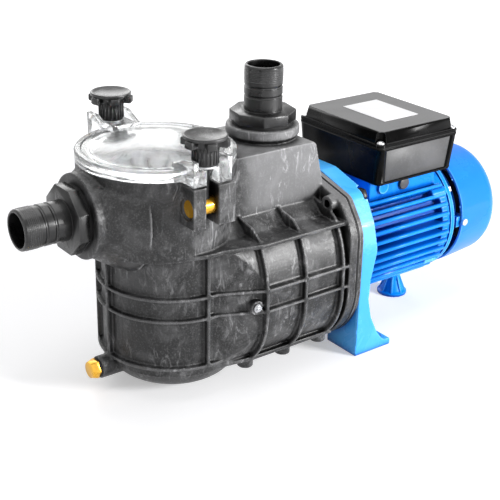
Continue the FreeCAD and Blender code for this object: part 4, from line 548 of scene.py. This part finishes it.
# Motor: a drum with a saddle, and cast fins round it. Insets are from the ends or sides of the boxes,
# drops are from the drum's outer radius, angles are in degrees.
motor = {
    "finCount": 40, "finHeight": 0.012, "finThick": 0.0056, "finInset": 0.004, "blockiness": 0.6,
    "openAngle": 42.0, "drumInset": 0.001, "frontDrop": 0.004, "frontLength": 0.008, "rearDrop": 0.0035,
    "rearLength": 0.012, "saddleInset": 0.019, "saddleFront": 0.007, "saddleRear": 0.011,
    "bossRadius": 0.009, "bossDepth": 0.03, "bossSteps": 32, "lugAngles": (35, 145, 220, 320),
    "lugRadius": 0.0062, "lugDrop": 0.007, "lugLength": 0.022, "lugSteps": 32,
    "voxel": 0.0011, "rounds": 3, "triangles": 150000,
}


# Fins round a shaft: rounded bars, left out near the top where the saddle is.
def makeFinTree():
    labels = {
        "Count": 40, "Radius": 0.058, "Height": 0.012, "Thick": 0.0056, "Start": 0.0, "Length": 0.126,
        "Blockiness": 0.6, "Open Angle": 0.73, "Shaft Height": 0.102,
    }
    graph, source, sink = startTree("finRing", labels)
    bar = graph.add("GeometryNodeMeshCylinder", {"Vertices": 20, "Radius": 1.0, "Depth": source["Length"]})
    turned = graph.add(
        "GeometryNodeTransform", {"Geometry": bar.outputs["Mesh"], "Rotation": (0, math.pi / 2, 0)}
    ).outputs[0]
    spot = graph.add("GeometryNodeInputPosition").outputs[0]
    parts = graph.add("ShaderNodeSeparateXYZ", {0: spot}).outputs
    halfThick = graph.math("MULTIPLY", source["Thick"], 0.5)
    squared = []
    for part, reach in ((parts[1], source["Height"]), (parts[2], halfThick)):
        size = graph.math("POWER", graph.math("ABSOLUTE", part), source["Blockiness"])
        squared.append(graph.math("MULTIPLY", graph.math("MULTIPLY", size, graph.math("SIGN", part)), reach))
    middle = graph.math("MULTIPLY", source["Length"], 0.5)
    along = graph.math("ADD", parts[0], graph.math("ADD", middle, source["Start"]))
    shape = graph.add("ShaderNodeCombineXYZ", {"X": along, "Y": squared[0], "Z": squared[1]}).outputs[0]
    fin = graph.add("GeometryNodeSetPosition", {"Geometry": turned, "Position": shape}).outputs[0]
    place = graph.math("ADD", graph.add("GeometryNodeInputIndex").outputs[0], 0.5)
    turn = graph.math("MULTIPLY", graph.math("DIVIDE", place, source["Count"]), 2 * math.pi)
    across = graph.math("MULTIPLY", graph.math("COSINE", turn), source["Radius"])
    rise = graph.math("MULTIPLY", graph.math("SINE", turn), source["Radius"])
    up = graph.math("ADD", rise, source["Shaft Height"])
    where = graph.add("ShaderNodeCombineXYZ", {"Y": across, "Z": up}).outputs[0]
    points = graph.add("GeometryNodePoints", {"Count": source["Count"], "Position": where}).outputs[0]
    offTop = graph.math("ABSOLUTE", graph.math("SUBTRACT", turn, math.pi / 2))
    hidden = graph.math("LESS_THAN", offTop, source["Open Angle"])
    # Each point's turn is stored first, because the indices change when the hidden ones go.
    tilted = {"Geometry": points, "Name": "tilt", "Value": turn}
    stored = graph.add("GeometryNodeStoreNamedAttribute", tilted, data_type="FLOAT", domain="POINT")
    feeds = {"Geometry": stored.outputs[0], "Selection": hidden}
    kept = graph.add("GeometryNodeDeleteGeometry", feeds, domain="POINT")
    tilt = graph.add("GeometryNodeInputNamedAttribute", {"Name": "tilt"}, data_type="FLOAT")
    facing = graph.add("ShaderNodeCombineXYZ", {"X": tilt.outputs["Attribute"]}).outputs[0]
    instances = graph.add(
        "GeometryNodeInstanceOnPoints", {"Points": kept.outputs[0], "Instance": fin, "Rotation": facing}
    ).outputs[0]
    return endTree(graph, source, sink, instances)


# A round bar along X.
def roundBar(work, radius, start, end, height, across=0.0, steps=96):
    turns = [2 * math.pi * step / steps for step in range(steps)]
    rim = [(across + radius * math.cos(turn), height + radius * math.sin(turn)) for turn in turns]
    lofted("bar", [[(x, *point) for point in rim] for x in (start, end)], work)


# A block between two corners, added to a work mesh.
def blockIn(work, low, high):
    for corner in bmesh.ops.create_cube(work, size=1.0)["verts"]:
        corner.co = [low[k] if corner.co[k] < 0 else high[k] for k in range(3)]


def makeMotor():
    low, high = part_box("motor_housing")
    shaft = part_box("motor_shaft")
    height = (shaft[0][2] + shaft[1][2]) / 2
    tip = (high[1] - low[1]) / 2
    root = tip - motor["finHeight"]
    start, end = low[0], high[0]
    work = bmesh.new()
    roundBar(work, root, start + motor["drumInset"], end - motor["drumInset"], height)
    roundBar(work, tip - motor["frontDrop"], start, start + motor["frontLength"], height)
    roundBar(work, tip - motor["rearDrop"], end - motor["rearLength"], end, height)
    boxLow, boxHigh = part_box("terminal_box_base")
    saddleLow = (boxLow[0] + motor["saddleFront"], boxLow[1] + motor["saddleInset"], height)
    saddleHigh = (boxHigh[0] - motor["saddleRear"], boxHigh[1] - motor["saddleInset"], boxLow[2])
    blockIn(work, saddleLow, saddleHigh)
    footLow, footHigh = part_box("support_foot")
    footX = (footLow[0] + footHigh[0]) / 2
    radius = motor["bossRadius"]
    turns = [2 * math.pi * step / motor["bossSteps"] for step in range(motor["bossSteps"])]
    rim = [(footX + radius * math.cos(turn), radius * math.sin(turn)) for turn in turns]
    levels = (footHigh[2], height - motor["bossDepth"])
    lofted("boss", [[(*point, z) for point in rim] for z in levels], work)
    reach = tip - motor["lugDrop"]
    for angle in motor["lugAngles"]:
        up = height + reach * math.sin(math.radians(angle))
        across = reach * math.cos(math.radians(angle))
        roundBar(work, motor["lugRadius"], end - motor["lugLength"], end, up, across, motor["lugSteps"])
    drum = castFrom(toMesh(work, "motorDrum"), motor)
    for corner in drum.vertices:
        corner.co.z = min(corner.co.z, boxLow[2])
    addPiece("motorDrum", drum, "motor_housing")
    values = {
        "Count": motor["finCount"], "Radius": root, "Height": tip - root, "Thick": motor["finThick"],
        "Start": start + motor["finInset"], "Length": end - start - 2 * motor["finInset"],
        "Blockiness": motor["blockiness"], "Open Angle": math.radians(motor["openAngle"]),
        "Shaft Height": height,
    }
    fins = grown(makeFinTree(), values, "bluePaint")
    addPiece("motorFins", fins, "motor_housing")
    print("motor fins:", len(fins.polygons), "faces")


# Terminal box: a tub with corner posts, a seal, a lid rim and a notched cap. In the profiles each row is
# (up, extra inset, share of the side panels' recess), or (drop, extra inset) for the cap and its top.
terminalBox = {
    "corner": 0.0062, "cornerSteps": 8, "post": 0.0035, "postSlope": 0.0012, "recess": 0.0014,
    "taper": 0.003, "rim": 0.0035, "rimEdge": 0.0006, "rimRound": 0.0008, "sealInset": 0.0008,
    "notch": 0.006, "notchSpot": 0.0045, "notchSteps": 8, "capFoot": 0.0015, "capSunk": 0.001,
    "capInset": 0.0048, "panelLip": 0.0018,
    "footProfile": ((0.0, 0.0012, 0.0), (0.0006, 0.0004, 0.0), (0.0024, 0.0, 0.0), (0.0032, 0.0003, 1.0)),
    "mouthProfile": ((-0.0028, 0.0003, 1.0), (-0.002, 0.0, 0.0), (0.0, 0.0, 0.0)),
    "capProfile": ((0.0022, 0.0), (0.001, 0.0006), (0.0003, 0.0016)),
    "topProfile": ((0.0008, 0.0), (0.0001, 0.0), (0.0, 0.0003)),
}
sidePanel = {"foot": 0.0036, "head": 0.0032, "gap": 0.0003, "proud": 0.0002, "reach": 0.0004, "thick": 0.001}


# A rounded plan outline, drawn in from the box by an inset. The long sides are set back by the recess
# between the corner posts.
def planOutline(low, high, inset, corner, z, post=0.0, recess=0.0):
    x0, x1, y0, y1 = low[0] + inset, high[0] - inset, low[1] + inset, high[1] - inset
    points = []
    turns = ((x1, y1, 0), (x0, y1, 90), (x0, y0, 180), (x1, y0, 270))
    for index, (x, y, start) in enumerate(turns):
        cx = x - corner if start in (0, 270) else x + corner
        cy = y - corner if start in (0, 90) else y + corner
        for step in range(terminalBox["cornerSteps"] + 1):
            angle = math.radians(start + step * 90 / terminalBox["cornerSteps"])
            points.append((cx + corner * math.cos(angle), cy + corner * math.sin(angle), z))
        nextX, nextY, _ = turns[(index + 1) % 4]
        along = Vector((nextX - x, nextY - y, 0)).normalized()
        inward = Vector((-along.y, along.x, 0))
        first = Vector((x, y, z)) + along * (corner + post)
        last = Vector((nextX, nextY, z)) - along * (corner + post)
        depth = recess if abs(along.x) > abs(along.y) else 0.0
        slope = along * terminalBox["postSlope"]
        for spot, back in ((first - slope, 0), (first, depth), (last, depth), (last + slope, 0)):
            points.append(tuple(spot + inward * back))
    return points


# The plan outline of the cap: a box whose corners are round notches for the lid's screws.
def notchedOutline(low, high, inset, z):
    spot, radius = terminalBox["notchSpot"], terminalBox["notch"]
    reach = math.sqrt(radius**2 - (inset - spot) ** 2)
    first = math.atan2(reach, inset - spot)
    last = math.atan2(inset - spot, reach)
    quarter = []
    for step in range(terminalBox["notchSteps"] + 1):
        angle = first + (last - first) * step / terminalBox["notchSteps"]
        quarter.append((spot + radius * math.cos(angle), spot + radius * math.sin(angle)))
    points = []
    for signX, signY in ((1, 1), (-1, 1), (-1, -1), (1, -1)):
        arc = quarter if signX * signY > 0 else reversed(quarter)
        x = high[0] if signX > 0 else low[0]
        y = high[1] if signY > 0 else low[1]
        points.extend((x - signX * inX, y - signY * inY, z) for inX, inY in arc)
    return points


def makeTerminalBox():
    low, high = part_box("terminal_box_base")
    lidLow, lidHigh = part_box("terminal_box_lid")
    look = terminalBox
    corner, post = look["corner"], look["post"]
    base, rim = low[2], high[2]
    rings = []
    for up, extra, share in look["footProfile"]:
        inset = look["taper"] * (1 - up / (rim - base)) + extra
        rings.append(planOutline(low, high, inset, corner, base + up, post, share * look["recess"]))
    for up, extra, share in look["mouthProfile"]:
        inset = -look["taper"] * up / (rim - base) + extra
        rings.append(planOutline(low, high, inset, corner, rim + up, post, share * look["recess"]))
    tub = softEdges(lofted("boxTub", rings), width=0.0004, segments=2, angle=35)
    addPiece("boxTub", tub, "terminal_box_base")
    seal = [planOutline(lidLow, lidHigh, look["sealInset"], corner, z) for z in (rim, lidLow[2])]
    addPiece("boxSeal", lofted("boxSeal", seal), "terminal_box_gasket")
    top = lidLow[2] + look["rim"]
    edge, roundOff = look["rimEdge"], look["rimRound"]
    levels = ((edge, lidLow[2]), (0.0, lidLow[2] + edge), (0.0, top - roundOff), (roundOff, top))
    rings = [planOutline(lidLow, lidHigh, inset, corner, z) for inset, z in levels]
    addPiece("boxRim", lofted("boxRim", rings), "terminal_box_lid")
    ceiling = lidHigh[2]
    foot = look["capFoot"]
    slope = (look["capInset"] - foot) / (ceiling - top)
    rings = [notchedOutline(lidLow, lidHigh, foot, top - look["capSunk"])]
    for drop, extra in look["capProfile"]:
        inset = foot + slope * (ceiling - drop - top) + extra
        rings.append(notchedOutline(lidLow, lidHigh, inset, ceiling - drop))
    cap = softEdges(lofted("boxCap", rings), width=0.0006, angle=35)
    addPiece("boxCap", cap, "terminal_box_lid")
    inset = look["capInset"] + look["panelLip"]
    profile = look["topProfile"]
    rings = [notchedOutline(lidLow, lidHigh, inset + extra, ceiling - drop) for drop, extra in profile]
    # The top panel's grey is a painted sheen.
    addPiece("boxTop", lofted("boxTop", rings), "terminal_box_lid", finish="capTopSheen")
    makeSidePanels(low, high)
    print("terminal box made")


# Satin panels lie in the recesses of the two long sides; their grey is a painted sheen on the box's black
# plastic.
def makeSidePanels(low, high):
    look = terminalBox
    tall = high[2] - low[2]
    edge = look["corner"] + look["post"] - sidePanel["reach"]
    for name, side in (("nearPanel", -1), ("farPanel", 1)):
        corners = []
        for up in (sidePanel["foot"], tall - sidePanel["head"]):
            inset = look["taper"] * (1 - up / tall) + look["recess"] + sidePanel["gap"]
            depth = inset - sidePanel["proud"]
            y = low[1] + depth if side < 0 else high[1] - depth
            ends = [Vector((x, y, low[2] + up)) for x in (low[0] + inset + edge, high[0] - inset - edge)]
            corners.extend(ends if not corners else reversed(ends))
        back = [corner + Vector((0, -side * sidePanel["thick"], 0)) for corner in corners]
        mesh = softEdges(lofted(name, [back, corners]), width=0.0003, segments=2)
        addPiece(name, mesh, like="terminal_box_base", finish="panelSheen")


# Cross-headed screws: domes with a cross cut in each, one at every vertex of the base mesh.
boxScrews = {"inset": 0.006, "radius": 0.0042, "height": 0.0028, "slot": 0.001}


def makeScrewTree():
    labels = {"Radius": 0.004, "Height": 0.0024, "Slot Wide": 0.0009}
    graph, source, sink = startTree("screwHeads", labels)
    ball = graph.add("GeometryNodeMeshUVSphere", {"Segments": 28, "Rings": 14, "Radius": source["Radius"]})
    squash = graph.math("DIVIDE", source["Height"], source["Radius"])
    scale = graph.add("ShaderNodeCombineXYZ", {"X": 1.0, "Y": 1.0, "Z": squash}).outputs[0]
    dome = graph.add("GeometryNodeTransform", {"Geometry": ball.outputs["Mesh"], "Scale": scale}).outputs[0]
    long = graph.math("MULTIPLY", source["Radius"], 1.3)
    sunk = graph.math("MULTIPLY", source["Height"], 1.05)
    raised = graph.add("ShaderNodeCombineXYZ", {"Z": sunk}).outputs[0]
    cuts = []
    for size in (("Slot Wide", None), (None, "Slot Wide")):
        spanX, spanY = [source[label] if label else long for label in size]
        spans = {"X": spanX, "Y": spanY, "Z": source["Height"]}
        wide = graph.add("ShaderNodeCombineXYZ", spans).outputs[0]
        slab = graph.add("GeometryNodeMeshCube", {"Size": wide}).outputs["Mesh"]
        cut = graph.add("GeometryNodeTransform", {"Geometry": slab, "Translation": raised})
        cuts.append(cut.outputs[0])
    head = graph.add("GeometryNodeMeshBoolean", {0: dome}, operation="DIFFERENCE")
    for cutter in cuts:
        graph.tree.links.new(cutter, head.inputs[1])
    instances = graph.add(
        "GeometryNodeInstanceOnPoints", {"Points": source["Geometry"], "Instance": head.outputs["Mesh"]}
    ).outputs[0]
    return endTree(graph, source, sink, instances)


def makeScrews():
    low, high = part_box("terminal_box_lid")
    top = low[2] + terminalBox["rim"]
    inset = boxScrews["inset"]
    rows, columns = (low[0] + inset, high[0] - inset), (low[1] + inset, high[1] - inset)
    seeds = bpy.data.meshes.new("screwSpots")
    seeds.from_pydata([(x, y, top) for x in rows for y in columns], [], [])
    values = {"Radius": boxScrews["radius"], "Height": boxScrews["height"], "Slot Wide": boxScrews["slot"]}
    heads = grown(makeScrewTree(), values, "zinc", seeds)
    addPiece("boxScrews", heads, "terminal_lid_screws")
    print("screws:", len(heads.polygons), "faces")


# Knobs: lobed heads with a dished disc on ridged stems. The disc is a share of the outer radius, and the
# lobes' gaps are cut with a wave that is sharpened and shifted.
knob = {
    "lobes": 6, "gapDepth": 0.0072, "sharpness": 1.6, "shift": 0.05, "turn": 12.0, "steps": 120,
    "stem": 0.012, "headFoot": 0.017, "disc": 0.91, "ridges": 22, "ridgeRadius": 0.0005,
    "ridgeSunk": 0.0002, "ridgeShort": 0.003,
}


def makeRidgeTree():
    labels = {"Count": 22, "Radius": 0.012, "Thick": 0.0005, "Length": 0.014}
    graph, source, sink = startTree("stemRidges", labels)
    ring = graph.add("GeometryNodeMeshCircle", {"Vertices": source["Count"], "Radius": source["Radius"]})
    bar = graph.add(
        "GeometryNodeMeshCylinder", {"Vertices": 8, "Radius": source["Thick"], "Depth": source["Length"]}
    )
    instances = graph.add(
        "GeometryNodeInstanceOnPoints", {"Points": ring.outputs[0], "Instance": bar.outputs["Mesh"]}
    ).outputs[0]
    return endTree(graph, source, sink, instances)


# The outline of a knob at one height. Lobed is how far the gaps are cut, from 0 to 1.
def knobRing(centre, radius, up, lobed=0.0):
    points = []
    for step in range(knob["steps"]):
        angle = 2 * math.pi * step / knob["steps"]
        wave = math.cos(knob["lobes"] * (angle - math.radians(knob["turn"])))
        share = min(1.0, max(0.0, 0.5 + knob["sharpness"] * (wave - knob["shift"])))
        share = share * share * (3 - 2 * share)
        reach = radius - lobed * knob["gapDepth"] * (1 - share)
        points.append(centre + Vector((reach * math.cos(angle), reach * math.sin(angle), up)))
    return points


# The knob's section from the stem's foot to the middle of the dish: (radius, up, lobed).
def knobProfile(outer, tall):
    stem, foot = knob["stem"], knob["headFoot"]
    gap = outer - knob["gapDepth"]
    disc = knob["disc"] * outer
    return [
        (stem - 0.0016, 0.0, 0.0), (stem - 0.0009, 0.0006, 0.0), (stem - 0.0002, foot - 0.0004, 0.0),
        (gap - 0.001, foot, 0.0), (outer - 0.001, foot + 0.0002, 1.0), (outer, foot + 0.0012, 1.0),
        (outer, tall - 0.0042, 1.0), (outer - 0.0008, tall - 0.0034, 1.0),
        (disc - 0.0006, tall - 0.0032, 0.0), (disc, tall - 0.0028, 0.0), (disc, tall - 0.0006, 0.0),
        (disc - 0.0006, tall, 0.0), (disc - 0.0018, tall - 0.0001, 0.0), (disc - 0.003, tall - 0.0008, 0.0),
        (outer * 0.6, tall - 0.0022, 0.0), (outer * 0.3, tall - 0.003, 0.0),
        (outer * 0.05, tall - 0.0031, 0.0),
    ]


def makeKnobs():
    ridgeTree = makeRidgeTree()
    foot = knob["headFoot"]
    values = {
        "Count": knob["ridges"], "Radius": knob["stem"] - knob["ridgeSunk"], "Thick": knob["ridgeRadius"],
        "Length": foot - knob["ridgeShort"],
    }
    for side in ("left", "right"):
        low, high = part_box(f"{side}_knob")
        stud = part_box(f"{side}_knob_stud")
        centre = Vector(((stud[0][0] + stud[1][0]) / 2, (stud[0][1] + stud[1][1]) / 2, low[2]))
        profile = knobProfile((high[0] - low[0]) / 2, high[2] - low[2])
        mesh = lofted(f"{side}KnobGrip", [knobRing(centre, *row) for row in profile])
        mesh.shade_smooth()
        mesh = modified(mesh, [("WEIGHTED_NORMAL", {"weight": 50, "keep_sharp": True})])
        addPiece(f"{side}KnobGrip", mesh, f"{side}_knob")
        ridges = grown(ridgeTree, values, "knobPlastic")
        ridges.transform(Matrix.Translation(centre + Vector((0, 0, foot / 2))))
        addPiece(f"{side}KnobRidges", ridges, like=f"{side}_knob")
    print("knobs made")


# Rings: fine turned rings on the hose tails, the first of them inset from the mouth and the rest towards
# it, and a guard of wider and wider rings on the fan cover.
fineRings = {"Count": 7, "Step": 0.0017, "Radius": 0.01895, "Spread": 0.0, "Thick": 0.00035}
tailRings = {
    "suctionRings": {"node": "suction_hose_tail", "turn": 180, "toMouth": (-1, 0, 0)},
    "dischargeRings": {"node": "discharge_hose_tail", "turn": -90, "toMouth": (0, 0, 1)},
}
ringInset = 0.015
guardRings = {"Count": 4, "Step": 0.0, "Radius": 0.019, "Spread": 0.0095, "Thick": 0.0011}
guardSunk = 0.0012


def makeRingTree():
    labels = {"Count": 7, "Radius": 0.019, "Step": 0.0017, "Spread": 0.0, "Thick": 0.0003}
    graph, source, sink = startTree("fineRings", labels)
    place = graph.add("GeometryNodeInputIndex").outputs[0]
    along = graph.math("MULTIPLY", place, source["Step"])
    spot = graph.add("ShaderNodeCombineXYZ", {"X": along}).outputs[0]
    points = graph.add("GeometryNodePoints", {"Count": source["Count"], "Position": spot}).outputs[0]
    unit = {"Resolution": 72, "Radius": 1.0}
    hoop = graph.add("GeometryNodeCurvePrimitiveCircle", unit, mode="RADIUS").outputs[0]
    onEdge = {"Geometry": hoop, "Rotation": (0, math.pi / 2, 0)}
    upright = graph.add("GeometryNodeTransform", onEdge).outputs[0]
    reach = graph.math("ADD", source["Radius"], graph.math("MULTIPLY", place, source["Spread"]))
    instances = graph.add(
        "GeometryNodeInstanceOnPoints", {"Points": points, "Instance": upright, "Scale": reach}
    ).outputs[0]
    curves = graph.add("GeometryNodeRealizeInstances", {"Geometry": instances}).outputs[0]
    wire = graph.add(
        "GeometryNodeCurvePrimitiveCircle", {"Resolution": 8, "Radius": source["Thick"]}, mode="RADIUS"
    ).outputs[0]
    tubes = graph.add("GeometryNodeCurveToMesh", {"Curve": curves, "Profile Curve": wire}).outputs[0]
    return endTree(graph, source, sink, tubes)


def makeRings():
    tree = makeRingTree()
    for name, look in tailRings.items():
        low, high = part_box(look["node"])
        middle = (Vector(low) + Vector(high)) / 2
        toMouth = Vector(look["toMouth"])
        half = abs((Vector(high) - middle).dot(toMouth))
        mesh = grown(tree, fineRings, "tailPlastic")
        mesh.transform(Matrix.Rotation(math.radians(look["turn"]), 4, "Y"))
        mesh.transform(Matrix.Translation(middle + toMouth * (half - ringInset)))
        addPiece(name, mesh, like=look["node"])
    low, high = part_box("fan_cover")
    mesh = grown(tree, guardRings, "skyPaint")
    mesh.transform(Matrix.Translation((high[0] - guardSunk, 0, (low[2] + high[2]) / 2)))
    addPiece("coverGuard", mesh, like="fan_cover")
    print("rings made")


makeCastings()
makeRounded()
makeMotor()
makeTerminalBox()
makeScrews()
makeKnobs()
makeRings()

camera = {
    "spot": (-0.73337, -0.82197, 0.56003), "ahead": (0.56276, 0.72396, -0.39898), "roll": 1.457,
    "lens": 79.23, "sensor": 36, "shift": (-0.0164, -0.0091),
}


def makeCamera():
    data = bpy.data.cameras.new("view")
    data.lens = camera["lens"]
    data.sensor_width = camera["sensor"]
    data.shift_x, data.shift_y = camera["shift"]
    thing = bpy.data.objects.new("view", data)
    turn = Vector(camera["ahead"]).to_track_quat("-Z", "Y").to_matrix()
    roll = Matrix.Rotation(math.radians(camera["roll"]), 3, "Z")
    thing.matrix_world = Matrix.Translation(camera["spot"]) @ (turn @ roll).to_4x4()
    bpy.context.scene.collection.objects.link(thing)
    bpy.context.scene.camera = thing


lampAim = (-0.08, 0, 0.14)
lamps = {
    "keyLamp": {"spot": (0.8, -1.4, 0.55), "size": 0.4, "power": 41.0},
    "fillLamp": {"spot": (-1.5, -0.6, 0.8), "size": 1.2, "power": 2.5},
    "topLamp": {"spot": (-0.1, 0.2, 1.6), "size": 1.4, "power": 13.0},
    "backLamp": {"spot": (0.3, 1.4, 0.9), "size": 1.0, "power": 8.0},
}


def makeLamps():
    for name, lamp in lamps.items():
        data = bpy.data.lights.new(name, "AREA")
        data.shape = "SQUARE"
        data.size = lamp["size"]
        data.energy = lamp["power"]
        thing = bpy.data.objects.new(name, data)
        spot = Vector(lamp["spot"])
        turn = (Vector(lampAim) - spot).to_track_quat("-Z", "Y").to_matrix()
        thing.matrix_world = Matrix.Translation(spot) @ turn.to_4x4()
        bpy.context.scene.collection.objects.link(thing)


# White all round. The world gives little light but is seen as white, and so is the floor, which keeps
# the shadow near the pump: its glow rises to full white between two distances from the origin.
studio = {
    "worldLevel": 0.16, "floorHalf": 3.0, "floorLevel": 0.8, "floorRoughness": 0.9, "glow": 0.4,
    "glowFrom": 0.5, "glowTo": 1.5, "white": (1, 1, 1, 1),
}


# 1 for rays from the camera, off a shiny face or through a clear one, and 0 for the light on the pump.
def seenDirectly(graph):
    path = graph.add("ShaderNodeLightPath").outputs
    first = graph.math("ADD", path["Is Camera Ray"], path["Is Glossy Ray"], True)
    return graph.math("ADD", first, path["Is Transmission Ray"], True)


def makeStudio():
    world = bpy.data.worlds.new("studio")
    world.use_nodes = True
    graph = Graph(world.node_tree)
    seen = seenDirectly(graph)
    level = graph.ramp(seen, 0.0, 1.0, studio["worldLevel"], 1.0)
    background = world.node_tree.nodes["Background"]
    background.inputs["Color"].default_value = studio["white"]
    world.node_tree.links.new(level, background.inputs["Strength"])
    bpy.context.scene.world = world
    half = studio["floorHalf"]
    corners = [(-half, -half, 0), (half, -half, 0), (half, half, 0), (-half, half, 0)]
    mesh = bpy.data.meshes.new("floor")
    mesh.from_pydata(corners, [], [(0, 1, 2, 3)])
    floor = bpy.data.objects.new("floor", mesh)
    bpy.context.scene.collection.objects.link(floor)
    paper = bpy.data.materials.new("paper")
    paper.use_nodes = True
    graph = Graph(paper.node_tree)
    shader = paper.node_tree.nodes["Principled BSDF"]
    shader.inputs["Base Color"].default_value = grey(studio["floorLevel"])
    shader.inputs["Roughness"].default_value = studio["floorRoughness"]
    shader.inputs["Specular IOR Level"].default_value = 0.0
    shader.inputs["Emission Color"].default_value = studio["white"]
    seen = seenDirectly(graph)
    spot = graph.add("ShaderNodeTexCoord").outputs["Object"]
    away = graph.add("ShaderNodeVectorMath", {0: spot}, operation="LENGTH").outputs["Value"]
    glow = graph.ramp(away, studio["glowFrom"], studio["glowTo"], studio["glow"], 1.0)
    paper.node_tree.links.new(graph.math("MULTIPLY", seen, glow), shader.inputs["Emission Strength"])
    mesh.materials.append(paper)


makeCamera()
makeLamps()
makeStudio()
bpy.context.scene.view_settings.view_transform = "Standard"
